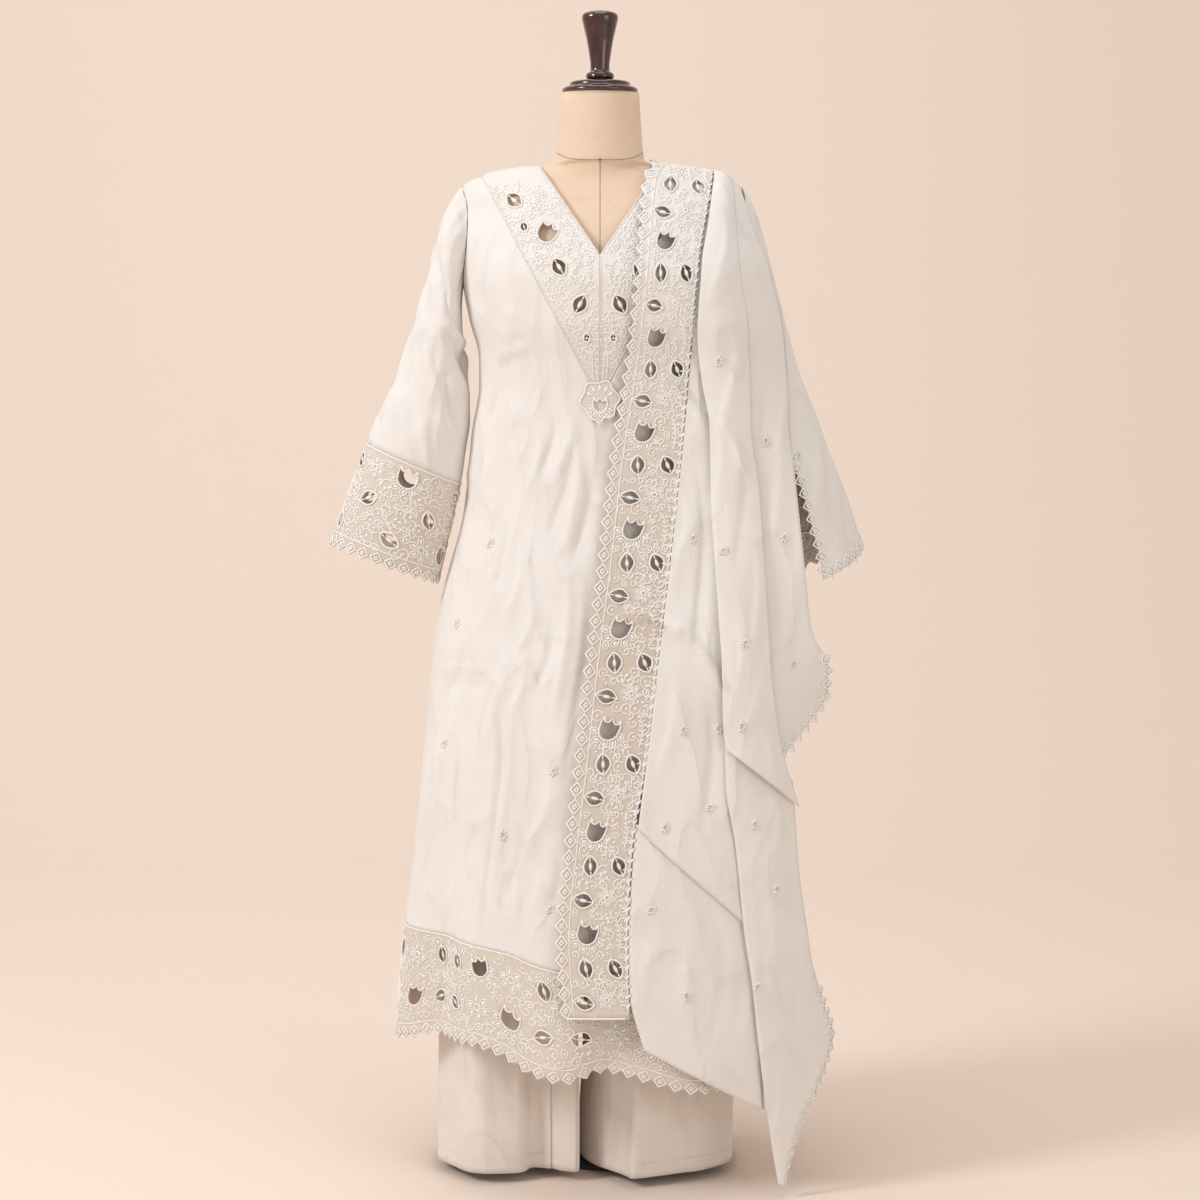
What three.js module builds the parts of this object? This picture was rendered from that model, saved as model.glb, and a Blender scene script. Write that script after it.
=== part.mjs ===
import * as THREE from 'three';

// Salwar suit on a limbless dress form: kurta, wide trousers and dupatta in off-white cotton.
// Millimetres, Z up, the front looks along -Y, and the form stands over the origin.
// A turn is an angle round the body in degrees: 0 centre front, 90 the +X side, 180 centre back.

const DEG = Math.PI / 180;
const CLOTH = 1.2; // wall of every sheet of cloth
const WAISTBAND = 2; // wall of the doubled waist casing
const WAIST = { top: 1004, bottom: 976 };
const SEAM = 0.3; // gap between neighbouring pieces
const FORM_GAP = 0.7; // least air between the form and the cloth on it
const SLEEVE_GAP = 0.95; // the sleeve head starts this far outside the armhole
const SAME_POINT = 1 / 50; // points of a net closer than this are one

const LACE_CELL = 10; // degrees round the skirt that one lace cell takes
const HEM_BAND = 140; // nominal depth of the hem lace
const HEM_PER_DEGREE = HEM_BAND / 30; // nominal girth of one degree of the hem
const HEM_CELL_ROWS = [0, 60, 120]; // cell lines across the hem lace
const TOOTH = 7; // height of the lozenge teeth on every lace edge
const CUFF_AROUND = 215; // nominal half girth of a cuff
const CUFF_DEPTH = 147; // cuff lace from its seam to the valleys of its teeth
const CUFF_CELL = 43; // width of one cuff cell
const CUFF_CELL_ROWS = [0, 45, 90, 130];

const BORDER_WIDTH = 96; // nominal width of the dupatta border
const BORDER_REPEAT = 132; // length of one lace repeat down the border
const BORDER_TEETH = 6; // teeth in one repeat
const BORDER_COLUMNS = [18, 62, 96]; // cell lines across the border, inside the teeth
const BORDER_ROWS = [0, 44, 88, 132]; // cell lines down one repeat, on the valleys between teeth
const RIDGE_ROWS = [0, 11, 22, 33, 44, 66, 88, 110, 132]; // closer lines over the shoulder's ridge
const FRONT_REPEATS = 9;
const BACK_REPEATS = 5;

const NECK_POINT = { x: 84, z: 1398 }; // where the V meets the shoulder seam
const NECK_VEE = 1272; // height of the V's bottom
const YOKE_TIP = 1076; // height where the neck lace runs out
const YOKE_SPREAD = 0.532; // how fast the outer edge of the neck lace leaves the centre
const ARMHOLE = { z: 1300, high: 68, deep: 34 };
const NARROWEST_PANEL = 1.2; // degrees that the front keeps between the neck lace and its side
const NARROWEST_LACE = 2; // degrees that the neck lace keeps at the shoulder seam
const BACK_NECK = { z: 1380, slope: 0.5 }; // above this the back's neck edge dips at its middle
const SKIRT_TOP = 700; // below this the kurta's rows follow its hem line
const BAND_LINE = 340; // nominal height of the seam over the hem lace

const CROTCH = 690;
const LEG_BLEND = 240; // height over which a leg rounds out below the crotch
const LEG_SEAM = 0.21; // each leg's inner edge lies this far from the centre
const POLE = { x: 20, y: 24, radius: 14, bottom: 28.3, top: 744.6 };
const BASE_RADIUS = 104;

// Turned pieces of the stand, by radius and height.
const BASE_PROFILE = [
  [0, 0], [BASE_RADIUS - 1.5, 0], [BASE_RADIUS, 1.5], [BASE_RADIUS, 6], [BASE_RADIUS - 4, 9],
  [32, 12], [22, 28], [0, 28],
];
const CAP_PROFILE = [[0, 1496.4], [51, 1496.4], [52.5, 1499], [49, 1506], [30, 1514], [0, 1514]];
const FINIAL_PROFILE = [
  [0, 1514.4], [17, 1514.4], [19.5, 1518], [19, 1524], [14, 1529],
  [13, 1531], [14.5, 1545], [19, 1570], [24.5, 1592], [25, 1598], [21, 1604], [12, 1607.5], [0, 1608.5],
];

// Shoulders: half width, front and back depth, and how far the base of the neck adds to both.
const SHOULDERS = [
  { z: 1398, half: 84, front: 34, back: 38, throat: 24 },
  { z: 1394, half: 115, front: 34, back: 38, throat: 23 },
  { z: 1390, half: 142, front: 38, back: 42, throat: 18 },
  { z: 1380, half: 172, front: 46, back: 50, throat: 10 },
];
const THROAT_SPREAD = 50;
const THROAT_END = 1330;

// Half width, front depth and back depth of the kurta at each height.
const KURTA = [
  ...SHOULDERS,
  { z: 1368, half: 191, front: 54, back: 58 },
  { z: 1350, half: 196, front: 68, back: 71 },
  { z: 1327, half: 196, front: 82, back: 84 },
  { z: 1290, half: 194, front: 102, back: 94 },
  { z: 1235, half: 190, front: 124, back: 101 },
  { z: 1185, half: 181, front: 124, back: 102 },
  { z: 1130, half: 168, front: 112, back: 98 },
  { z: 1095, half: 168, front: 108, back: 98 },
  { z: 1033, half: 178, front: 112, back: 108 },
  { z: 921, half: 190, front: 124, back: 124 },
  { z: 795, half: 222, front: 146, back: 146 },
  { z: 654, half: 239, front: 172, back: 166 },
  { z: 469, half: 258, front: 204, back: 190 },
  { z: 312, half: 278, front: 228, back: 206 },
  { z: 190, half: 288, front: 240, back: 214 },
];

// The hull that the dupatta hangs on: the kurta's shoulder above, the covered sleeve at the side.
// Its rings are squarer than an ellipse where the sleeve fills them out.
const HULL = [
  { z: 1405, half: 58, front: 50, back: 52, throat: 12 },
  ...SHOULDERS,
  { z: 1368, half: 192, front: 55, back: 59 },
  { z: 1350, half: 204, front: 70, back: 73 },
  { z: 1327, half: 214, front: 85, back: 87 },
  { z: 1290, half: 225, front: 105, back: 97 },
  { z: 1235, half: 239, front: 126, back: 103 },
  { z: 1185, half: 252, front: 126, back: 105 },
  { z: 1130, half: 268, front: 115, back: 103 },
  { z: 1095, half: 280, front: 113, back: 104 },
  { z: 1033, half: 303, front: 117, back: 112 },
  { z: 921, half: 347, front: 131, back: 130 },
  { z: 820, half: 372, front: 148, back: 148 },
  { z: 711, half: 366, front: 171, back: 164 },
  { z: 569, half: 350, front: 200, back: 182 },
  { z: 469, half: 346, front: 218, back: 196 },
  { z: 312, half: 346, front: 244, back: 216 },
  { z: 190, half: 348, front: 258, back: 226 },
  { z: 10, half: 350, front: 266, back: 230 },
];

// The form below its shoulders.
const FORM = [
  { z: 1352, half: 186, front: 60, back: 66 },
  { z: 1327, half: 184, front: 74, back: 77 },
  { z: 1290, half: 178, front: 91, back: 85 },
  { z: 1235, half: 168, front: 110, back: 91 },
  { z: 1180, half: 160, front: 108, back: 90 },
  { z: 1120, half: 146, front: 94, back: 86 },
  { z: 1060, half: 126, front: 84, back: 80 },
  { z: 1010, half: 120, front: 80, back: 82 },
  { z: 950, half: 143, front: 90, back: 96 },
  { z: 880, half: 164, front: 99, back: 112 },
  { z: 820, half: 172, front: 104, back: 117 },
  { z: 745, half: 168, front: 106, back: 110 },
];
const FORM_RINGS = [1350, 1320, 1280, 1235, 1180, 1120, 1060, 1004, 976, 930, 850, 745];
const FORM_SIDES = 24;
const FORM_SHOULDER_RINGS = [
  { z: 1398, gap: FORM_GAP },
  { z: 1394, gap: 0.9 },
  { z: 1389, gap: 1.7 },
  { z: 1380, gap: 1.9 },
  { z: 1368, gap: 1.6 },
];
const FORM_SHOULDER_DEPTH = 0.9; // the form is this much flatter than the kurta at its shoulders
const NECK = [
  { z: 1496, half: 54, front: 50, back: 51 },
  { z: 1440, half: 57.5, front: 54, back: 54 },
  { z: 1412, half: 60, front: 55, back: 56 },
  { z: 1403, half: 63, front: 54, back: 56 },
];

// Folds in the kurta's skirt: where each one hangs, how wide it is and how far it lifts at the hem.
const SKIRT_FOLDS = [
  { turn: -72, spread: 9, lift: 8 },
  { turn: -54, spread: 9, lift: -20 },
  { turn: -34, spread: 10, lift: 7 },
  { turn: -10, spread: 9, lift: 13 },
  { turn: 4, spread: 8, lift: -15 },
  { turn: 27, spread: 11, lift: 13 },
  { turn: 50, spread: 10, lift: -14 },
  { turn: 71, spread: 9, lift: 9 },
  { turn: 113, spread: 10, lift: -13 },
  { turn: 137, spread: 11, lift: 12 },
  { turn: 160, spread: 10, lift: -12 },
  { turn: 184, spread: 11, lift: 13 },
  { turn: 208, spread: 10, lift: -13 },
  { turn: 232, spread: 11, lift: 11 },
  { turn: 252, spread: 9, lift: -11 },
];
const FOLD_START = 1000;
const FOLD_FULL = 150; // height where the folds would be at their full lift
const FOLD_RUN = 810; // they open evenly over this height below their start

// The flower at the tip of the neck lace: petals and notches by radius, and its longer lowest petal.
const FLOWER = { x: 0, z: YOKE_TIP, petal: 29, notch: 24, tip: 8, lift: 1.75, hole: 2 };

// The hem line and the seam over the hem lace.
const HEM_LINE = [
  { turn: -90, hem: 192, band: 346 },
  { turn: -72, hem: 190, band: 347 },
  { turn: -54, hem: 207, band: 345 },
  { turn: -36, hem: 207, band: 341 },
  { turn: -27, hem: 197, band: 336 },
  { turn: -18, hem: 175, band: 323 },
  { turn: -9, hem: 167, band: 316 },
  { turn: 0, hem: 179, band: 313 },
  { turn: 9, hem: 170, band: 309 },
  { turn: 27, hem: 148, band: 301 },
  { turn: 63, hem: 168, band: 318 },
  { turn: 90, hem: 190, band: 338 },
  { turn: 135, hem: 188, band: 336 },
  { turn: 180, hem: 184, band: 332 },
  { turn: 225, hem: 188, band: 338 },
  { turn: 270, hem: 192, band: 346 },
];

// A sleeve by its length: outer line, inner line and half depth of its rings.
const SLEEVE = [
  { length: 0, outX: 191.5, outZ: 1368, inX: 189.5, inZ: 1232, deep: 34 },
  { length: 30, outX: 208, outZ: 1344, inX: 192, inZ: 1208, deep: 46 },
  { length: 70, outX: 222, outZ: 1307, inX: 191, inZ: 1176, deep: 50 },
  { length: 150, outX: 243, outZ: 1228, inX: 187, inZ: 1118, deep: 50 },
  { length: 215, outX: 261, outZ: 1166, inX: 181, inZ: 1080, deep: 50 },
  { length: 270, outX: 278, outZ: 1114, inX: 181, inZ: 1046, deep: 50 },
  { length: 325, outX: 303, outZ: 1064, inX: 187, inZ: 1004, deep: 52 },
  { length: 378, outX: 325, outZ: 1015, inX: 194, inZ: 958, deep: 54 },
  { length: 450, outX: 350, outZ: 948, inX: 209, inZ: 892, deep: 56 },
  { length: 525, outX: 377, outZ: 873, inX: 227, inZ: 817, deep: 58 },
];
const SLEEVE_ROWS = [0, 16, 40, 90, 150, 215, 270, 325, 378];
const CUFF_SEAM = 378;
const SLEEVE_COLUMNS = 16;
const SLEEVE_BLEND = 34; // length over which the armhole's outline becomes the sleeve's
const COVERED_SLEEVE = 0.86; // the dupatta presses the sleeve below it to this share of its width

// Hips of the trousers above the crotch.
const HIPS = [
  { z: 975.6, half: 136, front: 87.5, back: 92.5 },
  { z: 930, half: 158, front: 101, back: 109 },
  { z: 880, half: 174, front: 108, back: 123 },
  { z: 820, half: 185, front: 114, back: 130 },
  { z: 745, half: 192, front: 120, back: 130 },
  { z: 690, half: 196, front: 124, back: 130 },
];

// Each trouser leg below the crotch, measured from its own side of the centre.
const WEARER_LEFT_LEG = [
  { z: 690, centre: 98, half: 98, front: 124, back: 130 },
  { z: 450, centre: 91, half: 107, front: 132, back: 118 },
  { z: 200, centre: 82, half: 106, front: 144, back: 108 },
  { z: 14, centre: 78, half: 110, front: 146, back: 104 },
];
const WEARER_RIGHT_LEG = [
  { z: 690, centre: 98, half: 98, front: 124, back: 130 },
  { z: 450, centre: 124, half: 104, front: 128, back: 118 },
  { z: 200, centre: 132, half: 96, front: 132, back: 108 },
  { z: 14, centre: 134, half: 97, front: 136, back: 104 },
];
const WEARER_LEFT_FOLDS = [
  { turn: 345, spread: 11, lift: 18 },
  { turn: 18, spread: 11, lift: -6 },
  { turn: 60, spread: 13, lift: 8 },
  { turn: 130, spread: 15, lift: 10 },
  { turn: 160, spread: 14, lift: -8 },
  { turn: 200, spread: 15, lift: 9 },
];
const WEARER_RIGHT_FOLDS = [
  { turn: 313, spread: 7, lift: 46 },
  { turn: 332, spread: 8, lift: -14 },
  { turn: 25, spread: 15, lift: 8 },
  { turn: 62, spread: 12, lift: 6 },
  { turn: 135, spread: 15, lift: -8 },
  { turn: 170, spread: 14, lift: 9 },
];
const LEG_FOLD_START = 640;
const LEG_FOLD_FULL = 100;
const LEG_TURNS = [
  0, 15, 30, 45, 60, 75, 90, 108, 126, 144, 162, 180, 210, 240, 270, 294, 306, 313, 320, 333, 346, 360,
];
const LEG_ROWS = [975.6, 930, 840, 745, 690, 560, 400, 240, 120, 14];

// Length down the front from the shoulder ridge against nominal height.
const DROP = [
  { length: 0, z: 1396.5 },
  { length: 10, z: 1396 },
  { length: 20, z: 1394.6 },
  { length: 38, z: 1390 },
  { length: 50, z: 1380 },
  { length: 63, z: 1368 },
  { length: 83, z: 1350 },
  { length: 109, z: 1327 },
  { length: 150, z: 1290 },
  { length: 187, z: 1256 },
  { length: 1433, z: 10 },
];
const RIDGE_MIDDLE = 1396.5;
const RIDGE_FADE = 1250;
const RIDGE_REACH = 203; // the ridge is level from this distance outwards
const RIDGE_RANGE = { low: 1340, high: 1405, halvings: 30 }; // heights searched for the ridge
// How much squarer than an ellipse the hull is beside the sleeve, and where that starts and ends.
const HULL_SQUARE = { extra: 0.6, top: 1372, rise: 50, bottom: 800, fall: 200 };

// Edges of the front border, by nominal height.
const FRONT_BORDER = [
  { z: 1396.5, left: 68, right: 154, lift: 2 },
  { z: 1395, left: 68, right: 154, lift: 3.6 },
  { z: 1366, left: 56, right: 150, lift: 5.5 },
  { z: 1254, left: 47, right: 131, lift: 5.5 },
  { z: 1149, left: 36, right: 122, lift: 4.2 },
  { z: 980, left: 9, right: 108, lift: 3.6 },
  { z: 847, left: -6, right: 93, lift: 3.6 },
  { z: 718, left: -23, right: 77, lift: 3.6 },
  { z: 596, left: -36, right: 62, lift: 3.6 },
  { z: 477, left: -49, right: 43, lift: 3.6 },
  { z: 360, left: -60, right: 37, lift: 3.6 },
  { z: 262, left: -53, right: 39, lift: 3.6 },
];
const BACK_BORDER = [
  { z: 1396.5, left: 68, right: 154, lift: 2 },
  { z: 1395, left: 68, right: 154, lift: 3.6 },
  { z: 1300, left: 52, right: 146, lift: 5.5 },
  { z: 1000, left: 30, right: 126, lift: 4 },
  { z: 600, left: 12, right: 110, lift: 4 },
];

// Sheets of the dupatta, each row an edge point on its left and on its right; leftLift is the
// lift at the left edge where that one lies flatter.
const FRONT_PANEL = [
  { leftX: 124, leftZ: 1160, rightX: 150, rightZ: 1130, leftLift: 4.3, lift: 5 },
  { leftX: 119.5, leftZ: 1103, rightX: 160, rightZ: 1050, leftLift: 4, lift: 5 },
  { leftX: 108.6, leftZ: 980, rightX: 168, rightZ: 942, leftLift: 4, lift: 6 },
  { leftX: 93.6, leftZ: 847, rightX: 178, rightZ: 808, leftLift: 4, lift: 6 },
  { leftX: 77.6, leftZ: 718, rightX: 184, rightZ: 690, leftLift: 4, lift: 6 },
  { leftX: 63, leftZ: 600, rightX: 188, rightZ: 560, leftLift: 4, lift: 6 },
  { leftX: 50, leftZ: 505, rightX: 195, rightZ: 372, leftLift: 6, lift: 8 },
];
const PLEAT = [
  { leftX: 156, leftZ: 1396.5, rightX: 180, rightZ: 1396.5, lift: 4 },
  { leftX: 155, leftZ: 1394, rightX: 180, rightZ: 1394, lift: 6.5 },
  { leftX: 154, leftZ: 1384, rightX: 180, rightZ: 1384, lift: 8 },
  { leftX: 151, leftZ: 1362, rightX: 180, rightZ: 1360, lift: 9 },
  { leftX: 143, leftZ: 1310, rightX: 181, rightZ: 1305, lift: 11 },
  { leftX: 134, leftZ: 1254, rightX: 184, rightZ: 1244, lift: 12 },
  { leftX: 129, leftZ: 1171, rightX: 195, rightZ: 1174, lift: 13 },
  { leftX: 135, leftZ: 1104, rightX: 199, rightZ: 1100, lift: 14 },
  { leftX: 146, leftZ: 1036, rightX: 202, rightZ: 1032, lift: 14 },
  { leftX: 148, leftZ: 942, rightX: 213, rightZ: 952, lift: 14 },
  { leftX: 156, leftZ: 808, rightX: 222, rightZ: 807, lift: 15 },
  { leftX: 161, leftZ: 713, rightX: 227, rightZ: 704, lift: 16 },
  { leftX: 161, leftZ: 650, rightX: 238, rightZ: 610, lift: 17 },
  { leftX: 164, leftZ: 608, rightX: 260, rightZ: 526, lift: 18 },
];
const LOWER_PANEL = [
  { leftX: 47.4, leftZ: 500, rightX: 200, rightZ: 392, lift: 3.2 },
  { leftX: 41.2, leftZ: 430, rightX: 206, rightZ: 340, lift: 3.6 },
  { leftX: 37.8, leftZ: 362, rightX: 212, rightZ: 290, lift: 3.6 },
  { leftX: 39.4, leftZ: 290, rightX: 217, rightZ: 220, lift: 3.6 },
  { leftX: 58, leftZ: 216, rightX: 219, rightZ: 122, lift: 3.6 },
];
const TAIL = [
  { leftX: 165, leftZ: 640, rightX: 256, rightZ: 560, lift: 11 },
  { leftX: 166, leftZ: 560, rightX: 259, rightZ: 510, lift: 11 },
  { leftX: 178, leftZ: 480, rightX: 266, rightZ: 423, lift: 11 },
  { leftX: 189, leftZ: 366, rightX: 279, rightZ: 323, lift: 11 },
  { leftX: 198, leftZ: 300, rightX: 298, rightZ: 254, lift: 11 },
  { leftX: 206, leftZ: 230, rightX: 311, rightZ: 205, lift: 11 },
  { leftX: 213, leftZ: 170, rightX: 295, rightZ: 152, lift: 11 },
  { leftX: 220, leftZ: 115, rightX: 268, rightZ: 104, lift: 11 },
  { leftX: 228, leftZ: 60, rightX: 252, rightZ: 58, lift: 11 },
  { leftX: 235, leftZ: 18, rightX: 243, rightZ: 16, lift: 11 },
];
const SECOND_LAYER = [
  { leftX: 158, leftZ: 1396.5, rightX: 189, rightZ: 1396.5, lift: 2 },
  { leftX: 160, leftZ: 1394, rightX: 190, rightZ: 1394, lift: 3.6 },
  { leftX: 162, leftZ: 1384, rightX: 192, rightZ: 1384, lift: 4.8 },
  { leftX: 164, leftZ: 1362, rightX: 198, rightZ: 1362, lift: 6 },
  { leftX: 166, leftZ: 1310, rightX: 210, rightZ: 1310, lift: 8.5 },
  { leftX: 166, leftZ: 1246, rightX: 226, rightZ: 1246, lift: 9.5 },
  { leftX: 168, leftZ: 1126, rightX: 249, rightZ: 1126, lift: 9.5 },
  { leftX: 172, leftZ: 1031, rightX: 256, rightZ: 1031, lift: 9 },
  { leftX: 180, leftZ: 951, rightX: 264, rightZ: 951, lift: 9 },
  { leftX: 190, leftZ: 832, rightX: 276, rightZ: 832, lift: 9 },
  { leftX: 196, leftZ: 764, rightX: 284, rightZ: 764, lift: 9 },
  { leftX: 202, leftZ: 690, rightX: 307, rightZ: 715, lift: 9 },
  { leftX: 208, leftZ: 630, rightX: 306, rightZ: 680, lift: 9 },
  { leftX: 220, leftZ: 590, rightX: 249, rightZ: 600, lift: 9 },
];
// The outer layer wraps the sleeve: its front edge, its hem and its turns.
const SLEEVE_LAYER = [
  { turn: 50, top: 1290, hem: 831 },
  { turn: 62, top: 1325, hem: 847 },
  { turn: 90, top: 1366, hem: 872 },
  { turn: 120, top: 1335, hem: 850 },
  { turn: 138, top: 1290, hem: 836 },
];
const SLEEVE_LAYER_LIFT = 3.6;
const SLEEVE_LAYER_TURNS = [50, 59, 68, 76, 84, 90, 96, 104, 114, 126, 138];
const SLEEVE_LAYER_SHARES = [0, 0.08, 0.2, 0.34, 0.5, 0.66, 0.82, 1];
const BACK_PANEL = [
  { leftX: 154.5, leftZ: 1396.5, rightX: 182, rightZ: 1396.5, leftLift: 2.2, lift: 2.2 },
  { leftX: 154.5, leftZ: 1394, rightX: 183, rightZ: 1394, leftLift: 4, lift: 5 },
  { leftX: 154, leftZ: 1384, rightX: 184, rightZ: 1384, leftLift: 5, lift: 8 },
  { leftX: 152.6, leftZ: 1362, rightX: 187, rightZ: 1362, leftLift: 6.4, lift: 9 },
  { leftX: 147.6, leftZ: 1300, rightX: 196, rightZ: 1300, leftLift: 6.2, lift: 9 },
  { leftX: 139, leftZ: 1160, rightX: 212, rightZ: 1160, leftLift: 5, lift: 9 },
  { leftX: 127, leftZ: 1000, rightX: 232, rightZ: 1000, leftLift: 5, lift: 9 },
  { leftX: 119, leftZ: 800, rightX: 250, rightZ: 800, leftLift: 5, lift: 9 },
  { leftX: 111, leftZ: 620, rightX: 262, rightZ: 640, leftLift: 5, lift: 9 },
];

const COTTON = { color: 0xece6dc, roughness: 0.9, metalness: 0 };
const LACE = { color: 0xe8dfd0, roughness: 0.9, metalness: 0 };
const TROUSER = { color: 0xe2d7c6, roughness: 0.9, metalness: 0 };
const LINEN = { color: 0xc9b79a, roughness: 0.95, metalness: 0 };
const MAHOGANY = { color: 0x3a100b, roughness: 0.2, metalness: 0 };
const IRON = { color: 0x2a2725, roughness: 0.55, metalness: 0.4 };

// Value of one named column at a place on another, by a curve that never overshoots its rows.
function sample(rows, axis, key, at) {
  const rising = rows[rows.length - 1][axis] > rows[0][axis] ? 1 : -1;
  let i = 0;
  while (i < rows.length - 2 && rising * at > rising * rows[i + 1][axis]) {
    i += 1;
  }
  const steep = (k) => (rows[k + 1][key] - rows[k][key]) / (rows[k + 1][axis] - rows[k][axis]);
  const slope = (k) => {
    if (k === 0) return steep(0);
    if (k === rows.length - 1) return steep(k - 1);
    const before = steep(k - 1);
    const after = steep(k);
    return before * after <= 0 ? 0 : (2 * before * after) / (before + after);
  };
  const span = rows[i + 1][axis] - rows[i][axis];
  const t = Math.min(1, Math.max(0, (at - rows[i][axis]) / span));
  const rise = t * t * (3 - 2 * t);
  const bend = t * (1 - t) * span * (slope(i) * (1 - t) - slope(i + 1) * t);
  return rows[i][key] * (1 - rise) + rows[i + 1][key] * rise + bend;
}

function smooth(t) {
  const s = Math.min(1, Math.max(0, t));
  return s * s * (3 - 2 * s);
}

function mix(a, b, t) {
  return a + (b - a) * t;
}

function foldLift(folds, turn, grown) {
  let lift = 0;
  for (const fold of folds) {
    const away = ((((turn - fold.turn) % 360) + 540) % 360) - 180;
    lift += fold.lift * Math.exp(-((away / fold.spread) ** 2));
  }
  return lift * grown;
}

// A point on a ring; square is the exponent of its outline, 2 on an ellipse.
function ringPoint(rows, turn, z, square = 2) {
  const across = Math.sin(turn * DEG);
  const along = Math.cos(turn * DEG);
  const round = (value) => Math.sign(value) * Math.abs(value) ** (2 / square);
  const x = sample(rows, 'z', 'half', z) * round(across);
  const throat = 'throat' in rows[0] ? throatLift(rows, z) * Math.exp(-((x / THROAT_SPREAD) ** 2)) : 0;
  const deep = sample(rows, 'z', along > 0 ? 'front' : 'back', z);
  return new THREE.Vector3(x, -deep * round(along) - throat * along, z);
}

function throatLift(rows, z) {
  const last = SHOULDERS[SHOULDERS.length - 1];
  if (z >= last.z) return sample(rows.slice(0, rows.indexOf(last) + 1), 'z', 'throat', z);
  return last.throat * smooth((z - THROAT_END) / (last.z - THROAT_END));
}

// Unit normal of a surface given as a function of two numbers.
function normalAt(map, a, b, stepA, stepB) {
  const alongA = map(a + stepA, b).sub(map(a - stepA, b));
  const alongB = map(a, b + stepB).sub(map(a, b - stepB));
  return alongA.cross(alongB).normalize();
}

// A flat net of faces over a surface, thickened into one closed wall.
class Patch {
  constructor(map, stepA, stepB) {
    this.map = map;
    this.stepA = stepA;
    this.stepB = stepB;
    this.spots = [];
    this.faces = [];
    this.seen = new Map();
  }

  spot(a, b) {
    const point = this.map(a, b);
    const key = point.toArray().map((value) => Math.round(value / SAME_POINT)).join(',');
    if (!this.seen.has(key)) {
      this.seen.set(key, this.spots.length);
      this.spots.push({ point, normal: normalAt(this.map, a, b, this.stepA, this.stepB) });
    }
    return this.seen.get(key);
  }

  // Local size in millimetres of one unit of a and of b.
  scaleAt(a, b) {
    const alongA = this.map(a + this.stepA, b).distanceTo(this.map(a - this.stepA, b)) / (2 * this.stepA);
    const alongB = this.map(a, b + this.stepB).distanceTo(this.map(a, b - this.stepB)) / (2 * this.stepB);
    return { a: alongA, b: alongB };
  }

  cell(corners, hole) {
    const scale = this.scaleAt(corners[0][0], corners[0][1]);
    const flat = (list) => list.map(([a, b]) => new THREE.Vector2(a * scale.a, b * scale.b));
    const holes = hole ? [hole] : [];
    const places = corners.concat(...holes);
    const ids = places.map(([a, b]) => this.spot(a, b));
    const triangles = THREE.ShapeUtils.triangulateShape(flat(corners), holes.map(flat));
    const turnsLeft = triangles.reduce((sum, [i, j, k]) => {
      return sum + THREE.ShapeUtils.area([i, j, k].map((id) => flat(places)[id]));
    }, 0) > 0;
    for (const [i, j, k] of triangles) {
      if (ids[i] !== ids[j] && ids[j] !== ids[k] && ids[k] !== ids[i]) {
        this.faces.push(turnsLeft ? [ids[i], ids[j], ids[k]] : [ids[i], ids[k], ids[j]]);
      }
    }
  }

  grid(listA, listB, keep = () => true) {
    for (let i = 0; i + 1 < listA.length; i += 1) {
      for (let j = 0; j + 1 < listB.length; j += 1) {
        if (keep(i, j)) {
          const corners = [
            [listA[i], listB[j]],
            [listA[i + 1], listB[j]],
            [listA[i + 1], listB[j + 1]],
            [listA[i], listB[j + 1]],
          ];
          this.cell(corners);
        }
      }
    }
  }

  // Cloth hangs from its outer face inwards; side is 1 or -1 so that the normal points outwards.
  wall(thickness, side) {
    const out = (id) => this.spots[id].normal.clone().multiplyScalar(side);
    const point = (id) => this.spots[id].point;
    const faces = this.faces.map(([i, j, k]) => (side > 0 ? [i, j, k] : [i, k, j]));
    const count = this.spots.length;
    const positions = [];
    for (let id = 0; id < count; id += 1) positions.push(...point(id).toArray());
    for (let id = 0; id < count; id += 1) {
      positions.push(...point(id).clone().addScaledVector(out(id), -thickness).toArray());
    }
    const used = new Set(faces.flatMap(([i, j, k]) => [`${i},${j}`, `${j},${k}`, `${k},${i}`]));
    const index = [];
    for (const [i, j, k] of faces) {
      index.push(i, j, k, count + i, count + k, count + j);
      for (const [from, to] of [[i, j], [j, k], [k, i]]) {
        if (!used.has(`${to},${from}`)) {
          index.push(to, from, count + from, to, count + from, count + to);
        }
      }
    }
    return solid(positions, index);
  }
}

function solid(positions, index) {
  const geometry = new THREE.BufferGeometry();
  geometry.setAttribute('position', new THREE.Float32BufferAttribute(positions, 3));
  geometry.setIndex(index);
  geometry.computeVertexNormals();
  return geometry;
}

// Cut-out shapes of the lace, in millimetres round their own middle. A leaf has three edges a side.
function leafShape(length, width) {
  const bulge = width / 1.8;
  const points = [];
  for (let k = 0; k < 6; k += 1) {
    const along = (k < 3 ? k : 6 - k) / 3;
    const side = k < 3 ? 1 : -1;
    points.push([length * (along - 0.5), side * bulge * Math.sin(Math.PI * along)]);
  }
  return points;
}

function tulipShape(size) {
  const cup = [180, 240, 300, 0].map((angle) => {
    return [0.46 * size * Math.cos(angle * DEG), 0.5 * size * Math.sin(angle * DEG)];
  });
  const tips = [[0.5, 0.45], [0.2, 0.16], [0, 0.55], [-0.2, 0.16], [-0.5, 0.45]];
  return cup.concat(tips.map(([x, y]) => [x * size, y * size]));
}

const LEAF = leafShape(25, 15);
const SMALL_LEAF = leafShape(20, 12);
const TULIP = tulipShape(23);

// Puts a shape on a patch at a place, turned by an angle.
function holeAt(patch, a, b, shape, angle) {
  const scale = patch.scaleAt(a, b);
  const c = Math.cos(angle * DEG);
  const s = Math.sin(angle * DEG);
  return shape.map(([x, y]) => [a + (x * c - y * s) / scale.a, b + (x * s + y * c) / scale.b]);
}

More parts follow.
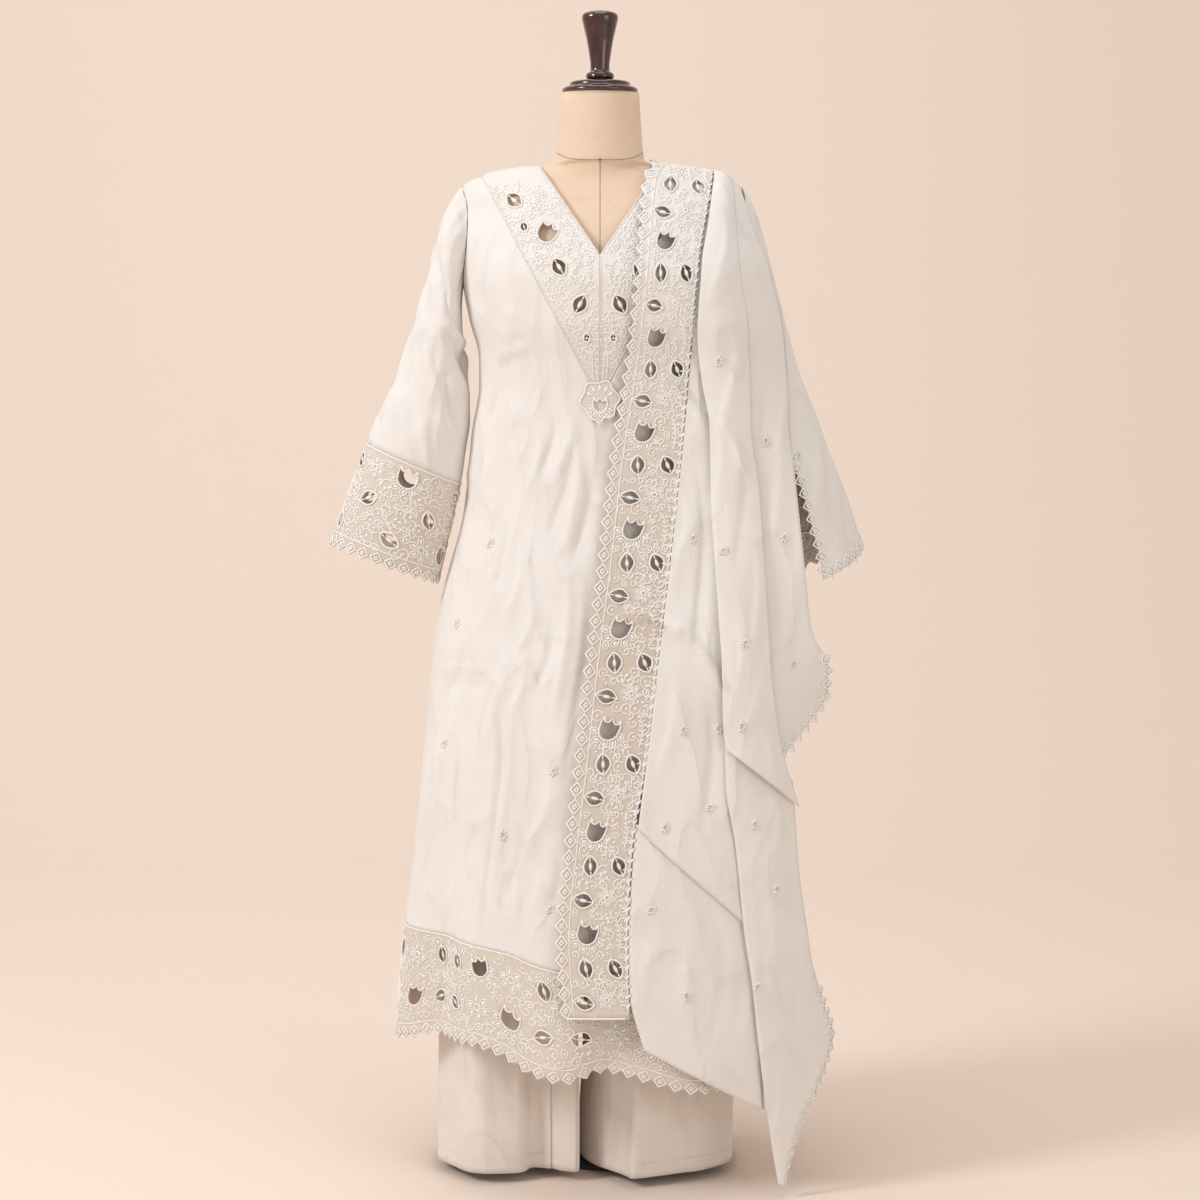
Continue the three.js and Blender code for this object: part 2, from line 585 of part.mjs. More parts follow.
function box(a0, a1, b0, b1) {
  return [[a0, b0], [a1, b0], [a1, b1], [a0, b1]];
}

function middleHole(patch, a0, a1, b0, b1, eyelet) {
  const a = mix(a0, a1, eyelet.a ?? 0.5);
  const b = mix(b0, b1, eyelet.b ?? 0.5);
  return holeAt(patch, a, b, eyelet.shape, eyelet.angle);
}

// Kurta.
function kurtaPoint(turn, z) {
  const below = FOLD_START - z;
  const grown = smooth(below / (FOLD_START - FOLD_FULL)) * Math.min(1, below / FOLD_RUN);
  const lift = below > 0 ? foldLift(SKIRT_FOLDS, turn, grown) : 0;
  const point = ringPoint(KURTA, turn, z);
  point.x += lift * Math.sin(turn * DEG);
  point.y -= lift * Math.cos(turn * DEG);
  return point;
}

function turnAtX(x, z) {
  return Math.asin(Math.min(1, x / sample(KURTA, 'z', 'half', z))) / DEG;
}

function sideLimit(z, depthKey) {
  return 90 - SEAM / 2 / sample(KURTA, 'z', depthKey, z) / DEG;
}

// Turn at which a panel ends: the side seam, the armhole or the shoulder seam.
function panelEnd(z, depthKey) {
  const up = (z - ARMHOLE.z) / ARMHOLE.high;
  const limit = sideLimit(z, depthKey);
  if (Math.abs(up) >= 1) return limit;
  const deep = ARMHOLE.deep * Math.sqrt(1 - up * up);
  return Math.min(limit, Math.acos(deep / sample(KURTA, 'z', depthKey, z)) / DEG);
}

function yokeOuterX(z) {
  return Math.max(0, (z - YOKE_TIP) * YOKE_SPREAD);
}

function neckEdgeX(z) {
  return Math.max(0, (NECK_POINT.x * (z - NECK_VEE)) / (NECK_POINT.z - NECK_VEE));
}

function skirtHeight(turn, z) {
  if (z >= SKIRT_TOP) return z;
  const seam = sample(HEM_LINE, 'turn', 'band', turn) + SEAM;
  return mix(SKIRT_TOP, seam, (SKIRT_TOP - z) / (SKIRT_TOP - BAND_LINE));
}

const FRONT_ROWS = [
  1383, 1376, 1367.9, 1350, 1325, 1295, 1265, 1243, 1232, 1185, 1135, 1100, 1076, 1033, 960, 850, 700,
  580, 460, 340,
];
const BACK_ROWS = [
  1396, 1390, 1383, 1376, 1367.9, 1350, 1325, 1295, 1265, 1243, 1232, 1170, 1110, 1050, 960, 850, 700,
  520, 340,
];

function makeKurtaFront() {
  const map = (a, z) => {
    const side = a < 0 ? -1 : 1;
    const share = Math.abs(a) / 90;
    const start = z > YOKE_TIP ? turnAtX(yokeOuterX(z) + SEAM, z) : 0;
    const end = panelEnd(z, 'front');
    const turn = side * mix(Math.min(start, end - NARROWEST_PANEL), end, share);
    return kurtaPoint(turn, skirtHeight(turn, z));
  };
  const patch = new Patch(map, 0.2, 0.3);
  const columns = Array.from({ length: 90 / LACE_CELL + 1 }, (_, k) => k * LACE_CELL);
  patch.grid(columns, FRONT_ROWS);
  patch.grid(columns.map((turn) => (turn === 0 ? -1e-9 : -turn)), FRONT_ROWS);
  return patch.wall(CLOTH, 1);
}

function makeKurtaBack() {
  const map = (a, z) => {
    const share = a / 90;
    const turn = 180 - share * panelEnd(z, 'back');
    const dip = BACK_NECK.slope * Math.cos(a * DEG) * Math.max(0, z - BACK_NECK.z);
    return kurtaPoint(turn, skirtHeight(turn, z) - dip);
  };
  const patch = new Patch(map, 0.2, 0.3);
  const columns = Array.from({ length: 180 / LACE_CELL + 1 }, (_, k) => k * LACE_CELL - 90);
  patch.grid(columns, BACK_ROWS);
  return patch.wall(CLOTH, -1);
}

// One repeat of the hem lace: which cells hold an eyelet.
const HEM_EYELETS = [
  { column: 0, row: 0, shape: LEAF, angle: 62 },
  { column: 0, row: 1, shape: LEAF, angle: 24 },
  { column: 1, row: 0, shape: TULIP, angle: 165 },
  { column: 2, row: 1, shape: TULIP, angle: 195 },
  { column: 3, row: 0, shape: LEAF, angle: 70 },
  { column: 3, row: 1, shape: LEAF, angle: -18 },
];

// Teeth along a lace edge, from one cell line to the next.
function toothRow(patch, a0, a1, b0, b1, teeth) {
  const corners = [[a0, b0], [a1, b0]];
  for (let k = 2 * teeth; k >= 0; k -= 1) {
    corners.push([mix(a0, a1, k / (2 * teeth)), k % 2 === 0 ? b1 : b1 + TOOTH]);
  }
  patch.cell(corners);
}

function makeHemLace(firstTurn) {
  const edge = SEAM / 6 / HEM_PER_DEGREE;
  const map = (a, b) => {
    const turn = firstTurn + Math.min(180 - edge, Math.max(edge, a / HEM_PER_DEGREE));
    const top = sample(HEM_LINE, 'turn', 'band', turn);
    const bottom = sample(HEM_LINE, 'turn', 'hem', turn) + TOOTH;
    return kurtaPoint(turn, mix(top, bottom, b / HEM_BAND));
  };
  const patch = new Patch(map, 0.5, 0.5);
  for (let column = 0; column < 180 / LACE_CELL; column += 1) {
    const a0 = column * LACE_CELL * HEM_PER_DEGREE;
    const a1 = a0 + LACE_CELL * HEM_PER_DEGREE;
    for (let row = 0; row < 2; row += 1) {
      const b0 = HEM_CELL_ROWS[row];
      const b1 = HEM_CELL_ROWS[row + 1];
      const eyelet = HEM_EYELETS.find((item) => item.column === column % 4 && item.row === row);
      patch.cell(box(a0, a1, b0, b1), eyelet && middleHole(patch, a0, a1, b0, b1, eyelet));
    }
    toothRow(patch, a0, a1, HEM_CELL_ROWS[2], HEM_BAND, 2);
  }
  return patch.wall(CLOTH, -1);
}

// Neck lace: three columns across, its rows run from the shoulder to the tip.
const YOKE_ROWS = [1397, 1394, 1390, 1383, 1376, 1367.9, 1325, 1285, 1240, 1185, 1135, 1083];
const YOKE_EYELETS = [
  { column: 2, row: 5, shape: SMALL_LEAF, angle: 50 },
  { column: 1, row: 6, shape: TULIP, angle: 30 },
  { column: 1, row: 7, shape: LEAF, angle: 120 },
  { column: 2, row: 6, shape: SMALL_LEAF, angle: 70 },
  { column: 1, row: 8, shape: SMALL_LEAF, angle: 75 },
];

function makeNeckLace(side) {
  const map = (a, z) => {
    const inner = turnAtX(Math.max(SEAM / 2, neckEdgeX(z)), z);
    const limit = sideLimit(z, 'front');
    const outer = Math.min(limit, turnAtX(yokeOuterX(z), z));
    return kurtaPoint(side * mix(Math.min(inner, limit - NARROWEST_LACE), outer, a / 3), z);
  };
  const patch = new Patch(map, 0.02, 0.3);
  for (let row = 0; row + 1 < YOKE_ROWS.length; row += 1) {
    for (let column = 0; column < 3; column += 1) {
      const corners = [column, column + 1, YOKE_ROWS[row], YOKE_ROWS[row + 1]];
      const eyelet = YOKE_EYELETS.find((item) => item.column === column && item.row === row);
      const hole = eyelet && middleHole(patch, ...corners, { ...eyelet, angle: side * eyelet.angle });
      patch.cell(box(...corners), hole);
    }
  }
  return patch.wall(CLOTH, side);
}

// Appliqued flower at the tip of the neck lace, lying on the front.
function makeNeckFlower() {
  const map = (x, z) => {
    const turn = turnAtX(Math.abs(x), z) * Math.sign(x || 1);
    const point = kurtaPoint(turn, z);
    point.y -= CLOTH + FLOWER.lift;
    return point;
  };
  const patch = new Patch(map, 0.2, 0.2);
  const outline = [];
  for (let k = 0; k < 24; k += 1) {
    const angle = k * 15 * DEG;
    const radius = k % 4 < 2 ? FLOWER.petal : FLOWER.notch;
    const drop = k === 18 ? FLOWER.tip : 0;
    outline.push([FLOWER.x + radius * Math.cos(angle), FLOWER.z + (radius + drop) * Math.sin(angle)]);
  }
  patch.cell(outline, holeAt(patch, FLOWER.x, FLOWER.z + FLOWER.hole, TULIP, 0));
  return patch.wall(CLOTH, 1);
}

// Sleeves.
function armholePoint(around) {
  const z = ARMHOLE.z + ARMHOLE.high * Math.cos(around * DEG);
  const y = -ARMHOLE.deep * Math.sin(around * DEG);
  const deep = sample(KURTA, 'z', y < 0 ? 'front' : 'back', z);
  const x = sample(KURTA, 'z', 'half', z) * Math.sqrt(1 - (y / deep) ** 2);
  return new THREE.Vector3(x + SLEEVE_GAP, y, z);
}

function sleevePoint(around, length, width) {
  const value = (key) => sample(SLEEVE, 'length', key, length);
  const outX = mix(value('inX'), value('outX'), width);
  const c = (1 + Math.cos(around * DEG)) / 2;
  const y = -value('deep') * width * Math.sin(around * DEG);
  const hung = new THREE.Vector3(mix(value('inX'), outX, c), y, mix(value('inZ'), value('outZ'), c));
  return armholePoint(around).lerp(hung, smooth(length / SLEEVE_BLEND));
}

function makeSleeve(side, width) {
  const map = (around, length) => {
    const point = sleevePoint(around, Math.min(length, CUFF_SEAM - SEAM), width);
    point.x *= side;
    return point;
  };
  const patch = new Patch(map, 0.5, 0.3);
  const columns = Array.from({ length: SLEEVE_COLUMNS + 1 }, (_, k) => (k * 360) / SLEEVE_COLUMNS);
  patch.grid(columns, SLEEVE_ROWS);
  return patch.wall(CLOTH, side);
}

const CUFF_EYELETS = [
  { column: 0, row: 0, shape: LEAF, angle: 30 },
  { column: 1, row: 1, shape: LEAF, angle: -35 },
  { column: 2, row: 0, shape: TULIP, angle: 180 },
  { column: 3, row: 1, shape: LEAF, angle: 65 },
  { column: 4, row: 0, shape: LEAF, angle: 10 },
  { column: 0, row: 2, shape: LEAF, angle: 75 },
  { column: 2, row: 2, shape: LEAF, angle: 20 },
  { column: 4, row: 2, shape: TULIP, angle: 200 },
];

function makeCuff(side, width, firstAround) {
  const edge = SEAM / 2 / (CUFF_AROUND / 180);
  const map = (a, b) => {
    const around = firstAround + Math.min(180 - edge, Math.max(edge, (a / CUFF_AROUND) * 180));
    const point = sleevePoint(around, CUFF_SEAM + b, width);
    point.x *= side;
    return point;
  };
  const patch = new Patch(map, 0.5, 0.5);
  for (let column = 0; column < 5; column += 1) {
    const a0 = column * CUFF_CELL;
    const a1 = a0 + CUFF_CELL;
    for (let row = 0; row < 3; row += 1) {
      const b0 = CUFF_CELL_ROWS[row];
      const b1 = CUFF_CELL_ROWS[row + 1];
      const eyelet = CUFF_EYELETS.find((item) => item.column === column && item.row === row);
      patch.cell(box(a0, a1, b0, b1), eyelet && middleHole(patch, a0, a1, b0, b1, eyelet));
    }
    toothRow(patch, a0, a1, CUFF_CELL_ROWS[3], CUFF_DEPTH - TOOTH, 2);
  }
  return patch.wall(CLOTH, side);
}

// Trousers.
function legPoint(rows, folds, turn, z) {
  const hips = (key) => sample(HIPS, 'z', key, Math.max(z, CROTCH));
  const depth = (key) => (z > CROTCH ? hips(key) : sample(rows, 'z', key, z));
  const c = Math.cos(turn * DEG);
  const s = Math.sin(turn * DEG);
  const deep = c > 0 ? depth('front') : depth('back');
  const outer = new THREE.Vector3(Math.max(LEG_SEAM, hips('half') * s), -deep * c, z);
  if (turn > 180) {
    outer.set(LEG_SEAM, mix(depth('back'), -depth('front'), (turn - 180) / 180), z);
  }
  if (z >= CROTCH) return outer;
  const grown = smooth((LEG_FOLD_START - z) / (LEG_FOLD_START - LEG_FOLD_FULL));
  const lift = foldLift(folds, turn, grown);
  const centre = sample(rows, 'z', 'centre', z);
  const half = sample(rows, 'z', 'half', z);
  const round = new THREE.Vector3(centre + (half + lift) * s, -(deep + lift) * c, z);
  return outer.lerp(round, smooth((CROTCH - z) / LEG_BLEND));
}

function makeLeg(side, rows, folds) {
  const map = (turn, z) => {
    const point = legPoint(rows, folds, turn, z);
    point.x *= side;
    return point;
  };
  const patch = new Patch(map, 0.4, 0.4);
  const firstInner = LEG_TURNS.indexOf(180);
  const firstBelow = LEG_ROWS.indexOf(CROTCH);
  patch.grid(LEG_TURNS, LEG_ROWS, (i, j) => i < firstInner || j >= firstBelow);
  return patch.wall(CLOTH, side);
}

function makeWaistband() {
  const map = (turn, z) => {
    const point = ringPoint(FORM, turn, z);
    const radial = new THREE.Vector3(Math.sin(turn * DEG), -Math.cos(turn * DEG), 0);
    return point.addScaledVector(radial, WAISTBAND + FORM_GAP);
  };
  const patch = new Patch(map, 0.5, 0.5);
  patch.grid(Array.from({ length: 25 }, (_, k) => k * 15), [WAIST.top, WAIST.bottom]);
  return patch.wall(WAISTBAND, 1);
}

// Dupatta: every point lies on the hull at a distance across and a nominal height.
function ridgeHeight(x) {
  let low = RIDGE_RANGE.low;
  let high = RIDGE_RANGE.high;
  for (let k = 0; k < RIDGE_RANGE.halvings; k += 1) {
    const middle = (low + high) / 2;
    if (sample(HULL, 'z', 'half', middle) > x) low = middle;
    else high = middle;
  }
  return (low + high) / 2;
}

function hangHeight(x, nominal) {
  const share = Math.min(1, Math.max(0, (nominal - RIDGE_FADE) / (RIDGE_MIDDLE - RIDGE_FADE)));
  return nominal + (ridgeHeight(Math.min(x, RIDGE_REACH)) - RIDGE_MIDDLE) * share;
}

function hullSquare(z) {
  const { extra, top, rise, bottom, fall } = HULL_SQUARE;
  return 2 + extra * smooth((top - z) / rise) * (1 - smooth((bottom - z) / fall));
}

function hullPoint(turn, z, lift) {
  const map = (t, h) => ringPoint(HULL, t, h, hullSquare(h));
  const normal = normalAt(map, turn, z, 0.2, 0.3);
  return map(turn, z).addScaledVector(normal, lift);
}

function drapePoint(x, nominal, lift, behind) {
  const z = hangHeight(x, nominal);
  const half = sample(HULL, 'z', 'half', z);
  const limit = 90 - SEAM / 2 / sample(HULL, 'z', behind ? 'back' : 'front', z) / DEG;
  const across = Math.sign(x) * Math.min(1, Math.abs(x) / half) ** (hullSquare(z) / 2);
  const turn = Math.min(limit, Math.asin(across) / DEG);
  return hullPoint(behind ? 180 - turn : turn, z, lift);
}

const BORDER_EYELETS = [
  { column: 0, row: 0, shape: TULIP, angle: 195, a: 0.55 },
  { column: 0, row: 1, shape: LEAF, angle: 80, a: 0.5 },
  { column: 1, row: 1, shape: LEAF, angle: 62, a: 0.5 },
  { column: 0, row: 2, shape: LEAF, angle: 12, a: 0.38 },
];

function makeBorder(rows, repeats, behind) {
  const map = (a, length) => {
    const nominal = sample(DROP, 'length', 'z', length);
    const left = sample(rows, 'z', 'left', nominal);
    const right = sample(rows, 'z', 'right', nominal);
    const lift = sample(rows, 'z', 'lift', nominal);
    return drapePoint(mix(left, right, a / BORDER_WIDTH), nominal, lift, behind);
  };
  const patch = new Patch(map, 0.5, 0.5);
  const half = BORDER_REPEAT / BORDER_TEETH / 2;
  for (let repeat = 0; repeat < repeats; repeat += 1) {
    const start = repeat * BORDER_REPEAT;
    const lines = repeat === 0 ? RIDGE_ROWS : BORDER_ROWS;
    for (let row = 0; row + 1 < lines.length; row += 1) {
      const edge = [[BORDER_COLUMNS[0], start + lines[row]], [BORDER_COLUMNS[0], start + lines[row + 1]]];
      for (let k = Math.round(lines[row + 1] / half); k * half >= lines[row] - 1; k -= 1) {
        edge.push([k % 2 === 0 ? TOOTH : 0, start + k * half]);
      }
      patch.cell(edge);
      for (let column = 0; column < 2; column += 1) {
        const corners = [
          BORDER_COLUMNS[column],
          BORDER_COLUMNS[column + 1],
          start + lines[row],
          start + lines[row + 1],
        ];
        const match = (item) => repeat > 0 && item.column === column && item.row === row;
        const eyelet = BORDER_EYELETS.find(match);
        patch.cell(box(...corners), eyelet && middleHole(patch, ...corners, eyelet));
      }
    }
  }
  return patch.wall(CLOTH, behind ? 1 : -1);
}

// A ruled sheet between its left and right edges; a toothed side gets lozenge teeth.
function makeSheet(rows, columns, steps, options = {}) {
  const table = rows.map((row, index) => ({ ...row, index }));
  const map = (a, b) => {
    const value = (key) => sample(table, 'index', key, b);
    const share = Math.min(1, a / columns);
    const x = mix(value('leftX'), value('rightX'), share);
    const nominal = mix(value('leftZ'), value('rightZ'), share);
    const puff = (options.puff ?? 0) * Math.sin(Math.PI * share) * smooth(b / 2);
    const leftLift = value('leftLift' in rows[0] ? 'leftLift' : 'lift');
    const lift = mix(leftLift, value('lift'), smooth(2 * share));
    return drapePoint(x, nominal, lift + puff, options.behind);
  };
  const patch = new Patch(map, 0.02, 0.02);
  const listA = Array.from({ length: columns + 1 }, (_, k) => k);
  const last = rows.length - 1;
  const listB = Array.from({ length: last * steps + 1 }, (_, k) => k / steps);
  patch.grid(listA, listB);
  return patch.wall(CLOTH, options.behind ? 1 : -1);
}

function makeSleeveLayer() {
  const map = (turn, b) => {
    const top = sample(SLEEVE_LAYER, 'turn', 'top', turn);
    const hem = sample(SLEEVE_LAYER, 'turn', 'hem', turn);
    return hullPoint(turn, mix(top, hem, b), SLEEVE_LAYER_LIFT);
  };
  const patch = new Patch(map, 0.3, 0.003);
  patch.grid(SLEEVE_LAYER_TURNS, SLEEVE_LAYER_SHARES);
  return patch.wall(CLOTH, -1);
}

// Dress form.
function loft(rings) {
  const around = rings[0].length;
  const positions = rings.flat().flatMap((point) => point.toArray());
  const index = [];
  for (let r = 0; r + 1 < rings.length; r += 1) {
    for (let k = 0; k < around; k += 1) {
      const a = r * around + k;
      const b = r * around + ((k + 1) % around);
      index.push(a, a + around, b, b, a + around, b + around);
    }
  }
  for (const [ring, flip] of [[0, false], [rings.length - 1, true]]) {
    const middle = rings[ring].reduce((sum, point) => sum.add(point), new THREE.Vector3());
    const hub = positions.length / 3;
    positions.push(...middle.divideScalar(around).toArray());
    for (let k = 0; k < around; k += 1) {
      const a = ring * around + k;
      const b = ring * around + ((k + 1) % around);
      index.push(...(flip ? [hub, b, a] : [hub, a, b]));
    }
  }
  return solid(positions, index);
}

function makeFormBody() {
  const turns = Array.from({ length: FORM_SIDES }, (_, k) => (k * 360) / FORM_SIDES);
  const neck = NECK.map(({ z }) => turns.map((turn) => ringPoint(NECK, turn, z)));
  const shoulders = FORM_SHOULDER_RINGS.map(({ z, gap }) => turns.map((turn) => {
    const normal = normalAt(kurtaPoint, turn, z, 0.2, 0.3);
    const point = kurtaPoint(turn, z).addScaledVector(normal, -CLOTH - gap);
    point.y *= FORM_SHOULDER_DEPTH;
    return point;
  }));
  const torso = FORM_RINGS.map((z) => turns.map((turn) => ringPoint(FORM, turn, z)));
  return loft([...neck, ...shoulders, ...torso]);
}

function turned(profile, segments) {
  const points = profile.map(([radius, z]) => new THREE.Vector2(radius, z));
  return new THREE.LatheGeometry(points, segments).rotateX(Math.PI / 2);
}

function makeNeckCap() {
  return turned(CAP_PROFILE, 24);
}

function makeFinial() {
  return turned(FINIAL_PROFILE, 18);
}

function makePole() {
  const height = POLE.top - POLE.bottom;
  const pole = new THREE.CylinderGeometry(POLE.radius, POLE.radius, height, 20).rotateX(Math.PI / 2);
  return pole.translate(POLE.x, POLE.y, POLE.bottom + height / 2);
}

function makeBase() {
  return turned(BASE_PROFILE, 30).translate(POLE.x, POLE.y, 0);
}

const suit = new THREE.Group();
suit.name = 'salwar_suit';

function add(name, geometry, look) {
  const mesh = new THREE.Mesh(geometry, new THREE.MeshStandardMaterial(look));
  mesh.name = name;
  suit.add(mesh);
}

add('form_body', makeFormBody(), LINEN);
add('neck_cap', makeNeckCap(), MAHOGANY);
add('finial', makeFinial(), MAHOGANY);
add('stand_pole', makePole(), IRON);
add('stand_base', makeBase(), IRON);

add('kurta_front', makeKurtaFront(), COTTON);
add('kurta_back', makeKurtaBack(), COTTON);
add('hem_lace_front', makeHemLace(-90), LACE);
add('hem_lace_back', makeHemLace(90), LACE);
add('neck_lace_right', makeNeckLace(-1), LACE);
add('neck_lace_left', makeNeckLace(1), LACE);
add('neck_flower', makeNeckFlower(), LACE);

for (const [name, side, width] of [['right', -1, 1], ['left', 1, COVERED_SLEEVE]]) {
  add(`kurta_sleeve_${name}`, makeSleeve(side, width), COTTON);
  add(`cuff_lace_${name}_front`, makeCuff(side, width, 0), LACE);
  add(`cuff_lace_${name}_back`, makeCuff(side, width, 180), LACE);
}

add('trouser_leg_right', makeLeg(-1, WEARER_RIGHT_LEG, WEARER_RIGHT_FOLDS), TROUSER);
add('trouser_leg_left', makeLeg(1, WEARER_LEFT_LEG, WEARER_LEFT_FOLDS), TROUSER);
add('trouser_waistband', makeWaistband(), TROUSER);

add('dupatta_border_front', makeBorder(FRONT_BORDER, FRONT_REPEATS, false), LACE);
add('dupatta_border_back', makeBorder(BACK_BORDER, BACK_REPEATS, true), LACE);
add('dupatta_front_panel', makeSheet(FRONT_PANEL, 5, 1), COTTON);
add('dupatta_pleat', makeSheet(PLEAT, 5, 1, { puff: 5 }), COTTON);
add('dupatta_lower_panel', makeSheet(LOWER_PANEL, 6, 1), COTTON);
add('dupatta_tail', makeSheet(TAIL, 5, 1, { puff: 5 }), COTTON);
add('dupatta_second_layer', makeSheet(SECOND_LAYER, 5, 1), COTTON);
add('dupatta_sleeve_layer', makeSleeveLayer(), COTTON);
add('dupatta_back_panel', makeSheet(BACK_PANEL, 5, 2, { behind: true }), COTTON);

export default suit;
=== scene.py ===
import math
import bmesh
import bpy
import numpy as np
from mathutils import Matrix, Vector, geometry


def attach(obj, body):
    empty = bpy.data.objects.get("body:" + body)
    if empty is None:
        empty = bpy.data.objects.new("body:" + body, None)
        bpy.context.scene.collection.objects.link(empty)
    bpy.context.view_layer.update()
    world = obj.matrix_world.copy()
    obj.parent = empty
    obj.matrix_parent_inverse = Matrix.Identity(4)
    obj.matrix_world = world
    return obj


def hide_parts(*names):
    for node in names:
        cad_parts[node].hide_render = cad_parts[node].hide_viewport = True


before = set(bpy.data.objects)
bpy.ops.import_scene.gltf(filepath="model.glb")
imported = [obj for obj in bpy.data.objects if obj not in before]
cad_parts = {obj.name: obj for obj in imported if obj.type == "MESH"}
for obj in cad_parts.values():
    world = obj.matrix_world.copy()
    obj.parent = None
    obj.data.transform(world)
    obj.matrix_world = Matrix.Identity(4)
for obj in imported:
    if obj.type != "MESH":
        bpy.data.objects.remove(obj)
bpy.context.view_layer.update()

# Dress form: a limbless torso and neck of padded papier-mache under natural linen, cut in panels
# that meet at a centre-front seam and a neck seam. The cloth hangs from its shoulders.
# Sizes are in millimetres, a turn is in degrees round the body, and 0 is the centre front.
MM = 0.001
CLOTH = 1.2


def table(columns, rows):
    return dict(zip(columns.split(), np.array(rows, float).T))


def curve(rows, axis, key, at):
    """One column at places on another, on a curve that never overshoots the rows."""
    places, values = rows[axis], rows[key]
    if places[0] > places[-1]:
        places, values = places[::-1], values[::-1]
    steep = np.diff(values) / np.diff(places)
    before, after = steep[:-1], steep[1:]
    same = before * after > 0
    middle = np.where(same, 2 * before * after / np.where(same, before + after, 1), 0)
    slope = np.concatenate([[steep[0]], middle, [steep[-1]]])
    at = np.asarray(at, float)
    i = np.clip(np.searchsorted(places, at) - 1, 0, len(places) - 2)
    span = places[i + 1] - places[i]
    t = np.clip((at - places[i]) / span, 0, 1)
    rise = t * t * (3 - 2 * t)
    bend = t * (1 - t) * span * (slope[i] * (1 - t) - slope[i + 1] * t)
    return values[i] * (1 - rise) + values[i + 1] * rise + bend


def smooth(t):
    t = np.clip(t, 0, 1)
    return t * t * (3 - 2 * t)


def mix(a, b, t):
    return a + (b - a) * t


def xyz(x, y, z):
    return np.stack(np.broadcast_arrays(x, y, z), axis=-1).astype(float)


SHOULDER_RINGS = [(1398, 84, 34, 38), (1394, 115, 34, 38), (1390, 142, 38, 42), (1380, 172, 46, 50)]
THROAT = table("z throat", [(1398, 24), (1394, 23), (1390, 18), (1380, 10)])
THROAT_FOOT, THROAT_RUN, THROAT_HALF = 1330, 50, 50
KURTA = table("z half front back", SHOULDER_RINGS + [
    (1368, 191, 54, 58), (1350, 196, 68, 71), (1327, 196, 82, 84), (1290, 194, 102, 94),
    (1235, 190, 124, 101), (1185, 181, 124, 102), (1130, 168, 112, 98), (1095, 168, 108, 98),
    (1033, 178, 112, 108), (921, 190, 124, 124), (795, 222, 146, 146), (654, 239, 172, 166),
    (469, 258, 204, 190), (312, 278, 228, 206), (190, 288, 240, 214),
])


def throat_lift(z, rows=THROAT):
    """How far the middle of each ring stands forward of its ellipse, below the throat and the nape."""
    low = rows["throat"][-1] * smooth((z - THROAT_FOOT) / THROAT_RUN)
    return np.where(z >= rows["z"][-1], curve(rows, "z", "throat", z), low)


def ring(rows, turn, z, square=2.0, throat=throat_lift):
    """Points of a ring at each height; square is its outline's exponent, 2 on an ellipse."""
    across, along = np.sin(np.radians(turn)), np.cos(np.radians(turn))
    x = curve(rows, "z", "half", z) * np.sign(across) * np.abs(across) ** (2 / square)
    deep = np.where(along > 0, curve(rows, "z", "front", z), curve(rows, "z", "back", z))
    bulge = throat(z) * np.exp(-((x / THROAT_HALF) ** 2)) if throat else 0
    return xyz(x, -deep * np.sign(along) * np.abs(along) ** (2 / square) - bulge * along, z)


def normals(surface, a, b, step=0.4):
    across = surface(a + step, b) - surface(a - step, b)
    along = surface(a, b + step) - surface(a, b - step)
    normal = np.cross(across, along)
    return normal / np.maximum(np.linalg.norm(normal, axis=-1, keepdims=True), 1e-9)


def through(rings, steps):
    """More rings between the given ones, on a smooth curve through them all."""
    p = np.concatenate([rings[:1], rings, rings[-1:]])
    made = []
    for k in range(1, len(p) - 2):
        for t in np.arange(steps) / steps:
            pull = 2 * p[k] + t * (p[k + 1] - p[k - 1])
            pull = pull + t * t * (2 * p[k - 1] - 5 * p[k] + 4 * p[k + 1] - p[k + 2])
            made.append(0.5 * (pull + t ** 3 * (3 * p[k] - p[k - 1] - 3 * p[k + 1] + p[k + 2])))
    return np.array(made + [rings[-1]])


def new_object(name, points, faces, edges=()):
    mesh = bpy.data.meshes.new(name)
    mesh.from_pydata((np.asarray(points) * MM).tolist(), list(edges), list(faces))
    piece = bpy.data.objects.new(name, mesh)
    bpy.context.scene.collection.objects.link(piece)
    for face in mesh.polygons:
        face.use_smooth = True
    return piece


def closed_loft(name, rings):
    """A solid through rings of points, its two ends closed by fans; rings run from the top down."""
    count, around = rings.shape[:2]
    points = np.concatenate([rings.reshape(-1, 3), [rings[0].mean(0)], [rings[-1].mean(0)]])
    faces = []
    for r in range(count - 1):
        for k in range(around):
            a, b = r * around + k, r * around + (k + 1) % around
            faces.append((a, a + around, b + around, b))
    top, bottom = count * around, count * around + 1
    for k in range(around):
        after = (k + 1) % around
        faces.append((top, k, after))
        faces.append((bottom, (count - 1) * around + after, (count - 1) * around + k))
    return new_object(name, points, faces)


def finish_of(name, color, roughness, sheen=0.0):
    """A new material: returns it with a function that adds a node and one that joins sockets."""
    material = bpy.data.materials.new(name)
    material.use_nodes = True
    tree = material.node_tree
    shader = tree.nodes["Principled BSDF"]
    shader.inputs["Base Color"].default_value = (*color, 1)
    shader.inputs["Roughness"].default_value = roughness
    shader.inputs["Sheen Weight"].default_value = sheen

    def node(kind, **settings):
        made = tree.nodes.new(kind)
        for key, value in settings.items():
            if key in made.inputs:
                made.inputs[key].default_value = value
            else:
                setattr(made, key, value)
        return made

    return material, shader, node, tree.links.new


